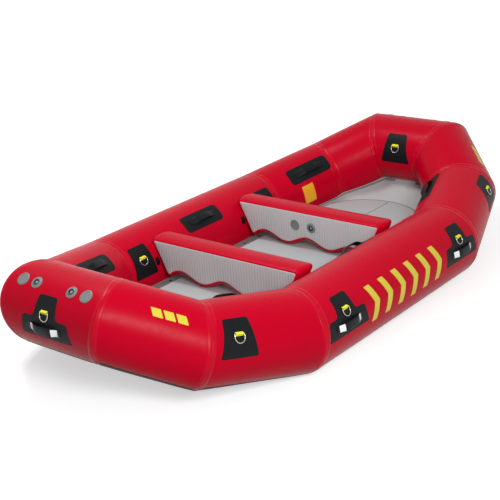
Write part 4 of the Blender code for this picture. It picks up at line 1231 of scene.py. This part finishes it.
half_band = skirt_strip(0.0, SIDE_BAND_END, 40)
for side, sign in (("port", 1), ("starboard", -1)):
    rows = mirrored(mirrored(half_band, -1, 1)[::-1] + half_band[1:], 1, sign)
    mesh = grid_mesh("side_band", rows, False, (0.024, SKIRT_COLUMN_STEP))
    turn_out(mesh, lambda spot: UP)
    band = add_piece("skirt_band_" + side, mesh, dark_mesh)
    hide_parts("floor_skirt")
    for number in range(-6, 7):
        row = min(rows, key=lambda row: abs(row[7].x - EYELET_SPACING * number))
        normal = (row[9] - row[5]).cross(AHEAD).normalized()
        if normal.z < 0:
            normal.negate()
        place = frame_at(row[7], normal, AHEAD)
        tag = "_%s_%d" % (side, number + 7)
        add_piece("eyelet" + tag, set_at(eyelet, place), eyelet_brass)
        add_piece("drain" + tag, set_at(drain, place), black_pvc)

# The dark band runs along the apron's outer edge, narrower towards the middle of the end. Its
# dark is partly the band's own colour and partly painted shade where the tubes overhang the apron.
half_apron = skirt_strip(SIDE_BAND_END, 9.0, 60)
edge_band_and_tube_shade = skirt_strip(SIDE_BAND_END - 0.06, 8.5, 60)
BAND_SHARES = (0.0, 0.04, 0.35, 0.7, 0.97, 1.0)
BAND_LIFTS = (-RIM_SINK, 0.0014, 0.0016, 0.0016, 0.0014, -RIM_SINK)
for end, sign in (("bow", 1), ("stern", -1)):
    rows = mirrored(half_apron + mirrored(half_apron, 1, -1)[::-1][1:], sign, 1)
    mesh = grid_mesh("apron", rows, False, (0.016, SKIRT_COLUMN_STEP))
    turn_out(mesh, lambda spot: UP)
    apron = add_piece("skirt_apron_" + end, mesh, grey_pvc)
    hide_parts("floor_skirt")
    for side, mirror in (("port", 1), ("starboard", -1)):
        rows = []
        for index, row in enumerate(edge_band_and_tube_shade):
            reach = between(0.46, 0.22, index / (len(edge_band_and_tube_shade) - 1))
            rows.append([row[12].lerp(row[5], between(0.07, reach, share)) + UP * lift
                         for share, lift in zip(BAND_SHARES, BAND_LIFTS)])
        rows = mirrored(rows, sign, mirror)
        mesh = grid_mesh("edge_band", rows, False, (0.016, SKIRT_COLUMN_STEP))
        turn_out(mesh, lambda spot: UP)
        add_piece("skirt_edge_%s_%s" % (end, side), mesh, dark_mesh)


# Thwarts
# Inflated drop-stitched cross seats 156 mm thick, tight between the tubes: flat light grey
# faces, and a fat red roll round the edge that is cut to three arches over the floor.
THWART_X = 0.4113
THWART_THICKNESS = 0.156
THWART_FACE_TOP = 0.41937
THWART_LOBE_FOOT = 0.211
THWART_LEAN = 0.494242
THWART_END_BAND = 0.02643
THWART_BULGE = 0.024
THWART_SEAM_SINK = 0.0016
THWART_CORNERS = (0.015, 0.054)
THWART_WELL = 0.030
THWART_ARCH_PITCH = 0.333
THWART_ARCH_HEIGHT = 0.050
THWART_VALVE_Y = -0.041
THWART_RELIEF_Y = 0.0855
THWART_VALVE_Z = 0.3335
RIB_PITCH = 0.020


def thwart_wave(y):
    """Height of the face's foot, with an arch in the middle and one on each side."""
    wave = (1 + math.cos(2 * math.pi * y / THWART_ARCH_PITCH)) / 2
    return THWART_LOBE_FOOT + THWART_ARCH_HEIGHT * wave


def thwart_end(z, inset):
    """Half the thwart's width at a height; the end leans with the side tube that it touches."""
    lean = math.atan(THWART_LEAN)
    _, tube_y, tube_z, tube_radius = SIDE_JOINT
    touch = tube_radius + CAD_GAP
    above = z - tube_z - touch * math.sin(lean)
    return tube_y - touch * math.cos(lean) + above * THWART_LEAN - inset


def bend(start, corner, last, steps):
    """Rounded corner as a short curve from start to last, drawn towards the corner."""
    points = []
    for k in range(1, steps):
        t = k / steps
        points.append(tuple(a * (1 - t) ** 2 + 2 * b * t * (1 - t) + c * t * t
                            for a, b, c in zip(start, corner, last)))
    return points


def thwart_outline(top, inset, drop, round_by):
    """Closed outline of Y and Z with a set number of places: the face's, or the band's crest."""
    foot = THWART_LOBE_FOOT - drop
    corner = (thwart_end(foot, inset), foot)
    reach = corner[0] - 0.030
    shoulder = (thwart_end(top, inset), top)
    flat = shoulder[0] - round_by
    high = (thwart_end(top - round_by, inset), top - round_by)
    low = (thwart_end(foot + 0.020, inset), foot + 0.020)
    half = [(flat * k / 22, top) for k in range(23)]
    half += bend(half[-1], shoulder, high, 10)
    half += [(between(high[0], low[0], k / 8), between(high[1], low[1], k / 8)) for k in range(9)]
    half += bend(low, corner, (reach, thwart_wave(reach) - drop), 8)
    half += [(y, thwart_wave(y) - drop) for y in (reach * (1 - k / 48) for k in range(49))]
    return half + [(-y, z) for y, z in half[::-1][1:-1]]


thwart_face = thwart_outline(THWART_FACE_TOP, THWART_END_BAND, 0.0, THWART_CORNERS[0])
thwart_crest = thwart_outline(THWART_FACE_TOP + THWART_BULGE, 0.0,
                              THWART_LOBE_FOOT - FLOOR_TOP - CAD_GAP, THWART_CORNERS[1])


def thwart_section(x, turn):
    """The loop at a turn round the band: 0 at the front face, a half turn at the back one."""
    swell = math.sin(turn)
    half = THWART_THICKNESS / 2 - THWART_SEAM_SINK * math.exp(-(swell / 0.12) ** 2)
    return [Vector((x + half * math.cos(turn), between(y0, y1, swell), between(z0, z1, swell)))
            for (y0, z0), (y1, z1) in zip(thwart_face, thwart_crest)]


def face_mesh(x, side, wells):
    """Flat face, drawn in to the seam round its edge, and open where the valves go through it."""
    bm = bmesh.new()
    level = x + side * THWART_THICKNESS / 2
    line = [Vector(place) for place in thwart_face]
    count = len(line)
    runs = [(line[(k + 1) % count] - line[k - 1]).normalized() for k in range(count)]
    loops = []
    for shrink, sink in ((0.0, 0.0018), (0.0016, 0.0006), (0.0042, -0.0008), (0.0085, -0.0018)):
        loops.append([bm.verts.new((level - side * sink, here.x + run.y * shrink,
                                    here.y - run.x * shrink)) for here, run in zip(line, runs)])
    for one, two in zip(loops, loops[1:]):
        for k in range(count):
            n = (k + 1) % count
            bm.faces.new((one[k], one[n], two[n], two[k]))
    inner = loops[-1]
    edges = [bm.edges.get((inner[k], inner[(k + 1) % count])) for k in range(count)]
    for y, z in wells:
        ring = [bm.verts.new((level, y + THWART_WELL * math.cos(turn),
                              z + THWART_WELL * math.sin(turn))) for turn in circle(32)]
        edges += [bm.edges.new((ring[k], ring[(k + 1) % 32])) for k in range(32)]
    bmesh.ops.triangle_fill(bm, edges=edges, use_beauty=True)
    bmesh.ops.recalc_face_normals(bm, faces=bm.faces)
    mesh = made_mesh(bm, "face")
    turn_out(mesh, lambda spot: AHEAD * side)
    return smoothed(mesh, 50)


# Drop-stitched face cloth: the same grey film, drawn into soft upright ribs 20 mm apart by the
# threads behind it, with a fine grain between them.
ribbed_pvc, ribbed_shader = new_material("pvc_drop_stitch_face_grey",
                                         {"IOR": 1.53, "Specular IOR Level": 0.15})
spots = add_node(ribbed_pvc, "TexCoord")
ribs = add_node(ribbed_pvc, "TexWave", {"bands_direction": "Y", "Scale": WAVE / RIB_PITCH,
                                        "Distortion": 0.6, "Detail": 1.0},
                {"Vector": (spots, "Object")})
grain = add_node(ribbed_pvc, "TexNoise", {"Scale": 1 / 0.0038, "Detail": 3.0},
                 {"Vector": (spots, "Object")})
cloud = add_node(ribbed_pvc, "TexNoise", {"Scale": 1 / 0.20, "Detail": 4.0},
                 {"Vector": (spots, "Object")})
height = add_node(ribbed_pvc, "Math", {"operation": "MULTIPLY_ADD", 1: 0.12},
                  {0: (grain, "Fac"), 2: (ribs, "Fac")})
finish(ribbed_pvc, ribbed_shader, tint=("#B2B0B2", "#BDBBBD", (cloud, "Fac")),
       gloss=(0.46, 0.6, (grain, "Fac")), relief=(0.6, 0.0030, (height, 0)))

for end, sign in (("bow", 1), ("stern", -1)):
    x = sign * THWART_X
    rows = [thwart_section(x, math.pi * k / 20) for k in range(21)]
    mesh = grid_mesh("band", rows, True, (0.012, 0.012))
    turn_out(mesh, lambda spot: spot - Vector((spot.x, 0.0, 0.32)))
    band = add_piece("thwart_band_" + end, mesh, red_pvc)
    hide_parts("thwart_" + end)
    for face_name, side in (("fore", 1), ("aft", -1)):
        wells = [(sign * THWART_VALVE_Y, THWART_VALVE_Z)] if side == -sign else []
        face = add_piece("thwart_face_%s_%s" % (end, face_name), face_mesh(x, side, wells),
                         ribbed_pvc)
        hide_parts("thwart_" + end)
    level = x - sign * THWART_THICKNESS / 2
    for fit, y in ((fit_inflation_valve, THWART_VALVE_Y), (fit_relief_valve, THWART_RELIEF_Y)):
        centre = Vector((level, sign * y, THWART_VALVE_Z))
        fit("thwart_" + end, frame_at(centre, AHEAD * -sign, UP))


# Thwart anchors
# Short loops of black webbing welded to the side tubes, before and behind each thwart's end;
# a strap through them holds the thwart down.
ANCHOR_TURN = 16.0
ANCHOR_X = (-0.500, -0.326, 0.326, 0.500)
ANCHOR_HALF_LENGTH = 0.024
ANCHOR_HALF_WIDTH = 0.011


def anchor_mesh():
    """Arched strip of webbing, 22 mm wide, over a thin welded foot."""
    rows = []
    for share, rim in rimmed(24):
        y = between(-ANCHOR_HALF_LENGTH, ANCHOR_HALF_LENGTH, share)
        arch = 0.0022 + 0.0075 * max(0.0, math.cos(math.pi * y / 0.036)) ** 0.8
        section = [(0.0, 0.0)] * 14 if rim else [
            (ANCHOR_HALF_WIDTH * bent(math.cos(turn), 0.4), 0.0011 * bent(math.sin(turn), 0.7))
            for turn in circle(14)]
        rows.append([Vector((across, y, arch + depth)) for across, depth in section])
    return closed(grid_mesh("anchor", rows, True, (0.002, 0.002)))


anchor_loop = anchor_mesh()
anchor_foot = cut_sheet(oblong(0.015, 0.026, 0.004), 0.0012)
for side in ("port", "starboard"):
    beam = panels["side_" + side]
    for number, x in enumerate(ANCHOR_X):
        tag = "%s_%d" % (side, number + 1)
        spot = (beam, -1, beam.length / 2 + x, ANCHOR_TURN)
        mesh = lay_on("foot", anchor_foot, *spot)
        add_piece("anchor_foot_" + tag, mesh, black_pvc)
        mesh = lay_on("loop", anchor_loop, *spot)
        add_piece("anchor_loop_" + tag, mesh, strap_webbing)


# Studio
# A white sweep and backdrop with two soft boxes: a wide one low behind the camera, which draws
# the long soft highlights along the near tubes, and one high on the port side for the tops.
SWEEP_HALF = 30.0
SWEEP_LEVEL = -0.003
CAMERA_PLACE = (-5.1059, -4.1167, 2.8113)
CAMERA_YAW = math.radians(40.161)
CAMERA_PITCH = math.radians(-20.9305)
CAMERA_ROLL = math.radians(4.0867)
CAMERA_LENS = 82.713


def background_share(owner):
    """1 for rays that show the background: straight to the camera, mirrored or passed through."""
    ray = add_node(owner, "LightPath")
    share = (ray, "Is Camera Ray")
    for other in ("Is Glossy Ray", "Is Transmission Ray"):
        share = (add_node(owner, "Math", {"operation": "MAXIMUM"}, {0: share, 1: (ray, other)}), 0)
    return share


# Painted studio floor: matt white, lifted to the level of the backdrop, so that only the
# object's shadow shows on it. It throws less light back up than it shows, which keeps the
# tubes' undersides deep red.
white_floor, floor_shader = new_material("studio_paint_white",
                                         {"Roughness": 0.9, "Specular IOR Level": 0.0})
spots = add_node(white_floor, "TexCoord")
reach = add_node(white_floor, "VectorMath", {"operation": "LENGTH"}, {0: (spots, "Object")})
strength = add_node(white_floor, "MapRange",
                    {"From Min": 2.0, "From Max": 6.0, "To Min": 0.52, "To Max": 0.85},
                    {"Value": (reach, "Value")})
glow = add_node(white_floor, "Emission", {}, {"Strength": (strength, 0)})
shown = background_share(white_floor)
lift = add_node(white_floor, "MixShader", {}, {0: shown, 2: (glow, 0)})
paint = add_node(white_floor, "Mix",
                 {"data_type": "RGBA", 6: linear("#8E8E8E"), 7: linear("#E6E6E6")}, {0: shown})
join(white_floor, floor_shader, {"Base Color": (paint, 2)})
both = add_node(white_floor, "AddShader", {}, {0: (floor_shader, 0), 1: (lift, 0)})
join(white_floor, white_floor.node_tree.nodes["Material Output"], {"Surface": (both, 0)})
mesh = bpy.data.meshes.new("sweep")
corners = [(x, y, SWEEP_LEVEL) for x, y in oblong(SWEEP_HALF, SWEEP_HALF, 0)]
mesh.from_pydata(corners, [], [(0, 1, 2, 3)])
mesh.materials.append(white_floor)
sweep = bpy.data.objects.new("studio_sweep", mesh)
bpy.context.scene.collection.objects.link(sweep)

world = bpy.data.worlds.new("studio")
bpy.context.scene.world = world
world.use_nodes = True
backdrop = world.node_tree.nodes["Background"]
backdrop.inputs["Color"].default_value = linear("#FFFFFF")
backdrop.inputs["Strength"].default_value = 1.0
room = add_node(world, "Background", {"Color": linear("#FFFFFF"), "Strength": 0.38})
choose = add_node(world, "MixShader", {},
                  {0: background_share(world), 1: (room, 0), 2: (backdrop, 0)})
join(world, world.node_tree.nodes["World Output"], {"Surface": (choose, 0)})


def bearing(yaw, pitch):
    level = math.cos(pitch)
    return Vector((level * math.cos(yaw), level * math.sin(yaw), math.sin(pitch)))


def add_lamp(name, azimuth, elevation, distance, size, power):
    """Soft box at a bearing from the raft's middle, facing it. Size in metres, power in watts."""
    towards = bearing(math.radians(azimuth), math.radians(elevation))
    lamp = bpy.data.lights.new(name, "AREA")
    lamp.shape = "RECTANGLE"
    lamp.size, lamp.size_y = size
    lamp.energy = power
    piece = bpy.data.objects.new(name, lamp)
    piece.location = towards * distance + Vector((0.0, 0.0, 0.3))
    piece.rotation_euler = towards.to_track_quat("Z", "Y").to_euler()
    bpy.context.scene.collection.objects.link(piece)


add_lamp("soft_box_front", -127.0, 28.0, 7.5, (2.6, 1.7), 365.0)
add_lamp("soft_box_port", 110.0, 66.0, 5.0, (1.3, 1.3), 115.0)

forward = bearing(CAMERA_YAW, CAMERA_PITCH)
right = forward.cross(UP).normalized()
down = forward.cross(right)
rolled = right * math.cos(CAMERA_ROLL) + down * math.sin(CAMERA_ROLL)
down = down * math.cos(CAMERA_ROLL) - right * math.sin(CAMERA_ROLL)
lens = bpy.data.cameras.new("camera")
lens.lens = CAMERA_LENS
camera = bpy.data.objects.new("camera", lens)
camera.matrix_world = (Matrix.Translation(CAMERA_PLACE)
                       @ Matrix((rolled, -down, -forward)).transposed().to_4x4())
bpy.context.scene.collection.objects.link(camera)
bpy.context.scene.camera = camera
bpy.context.scene.view_settings.view_transform = "Standard"
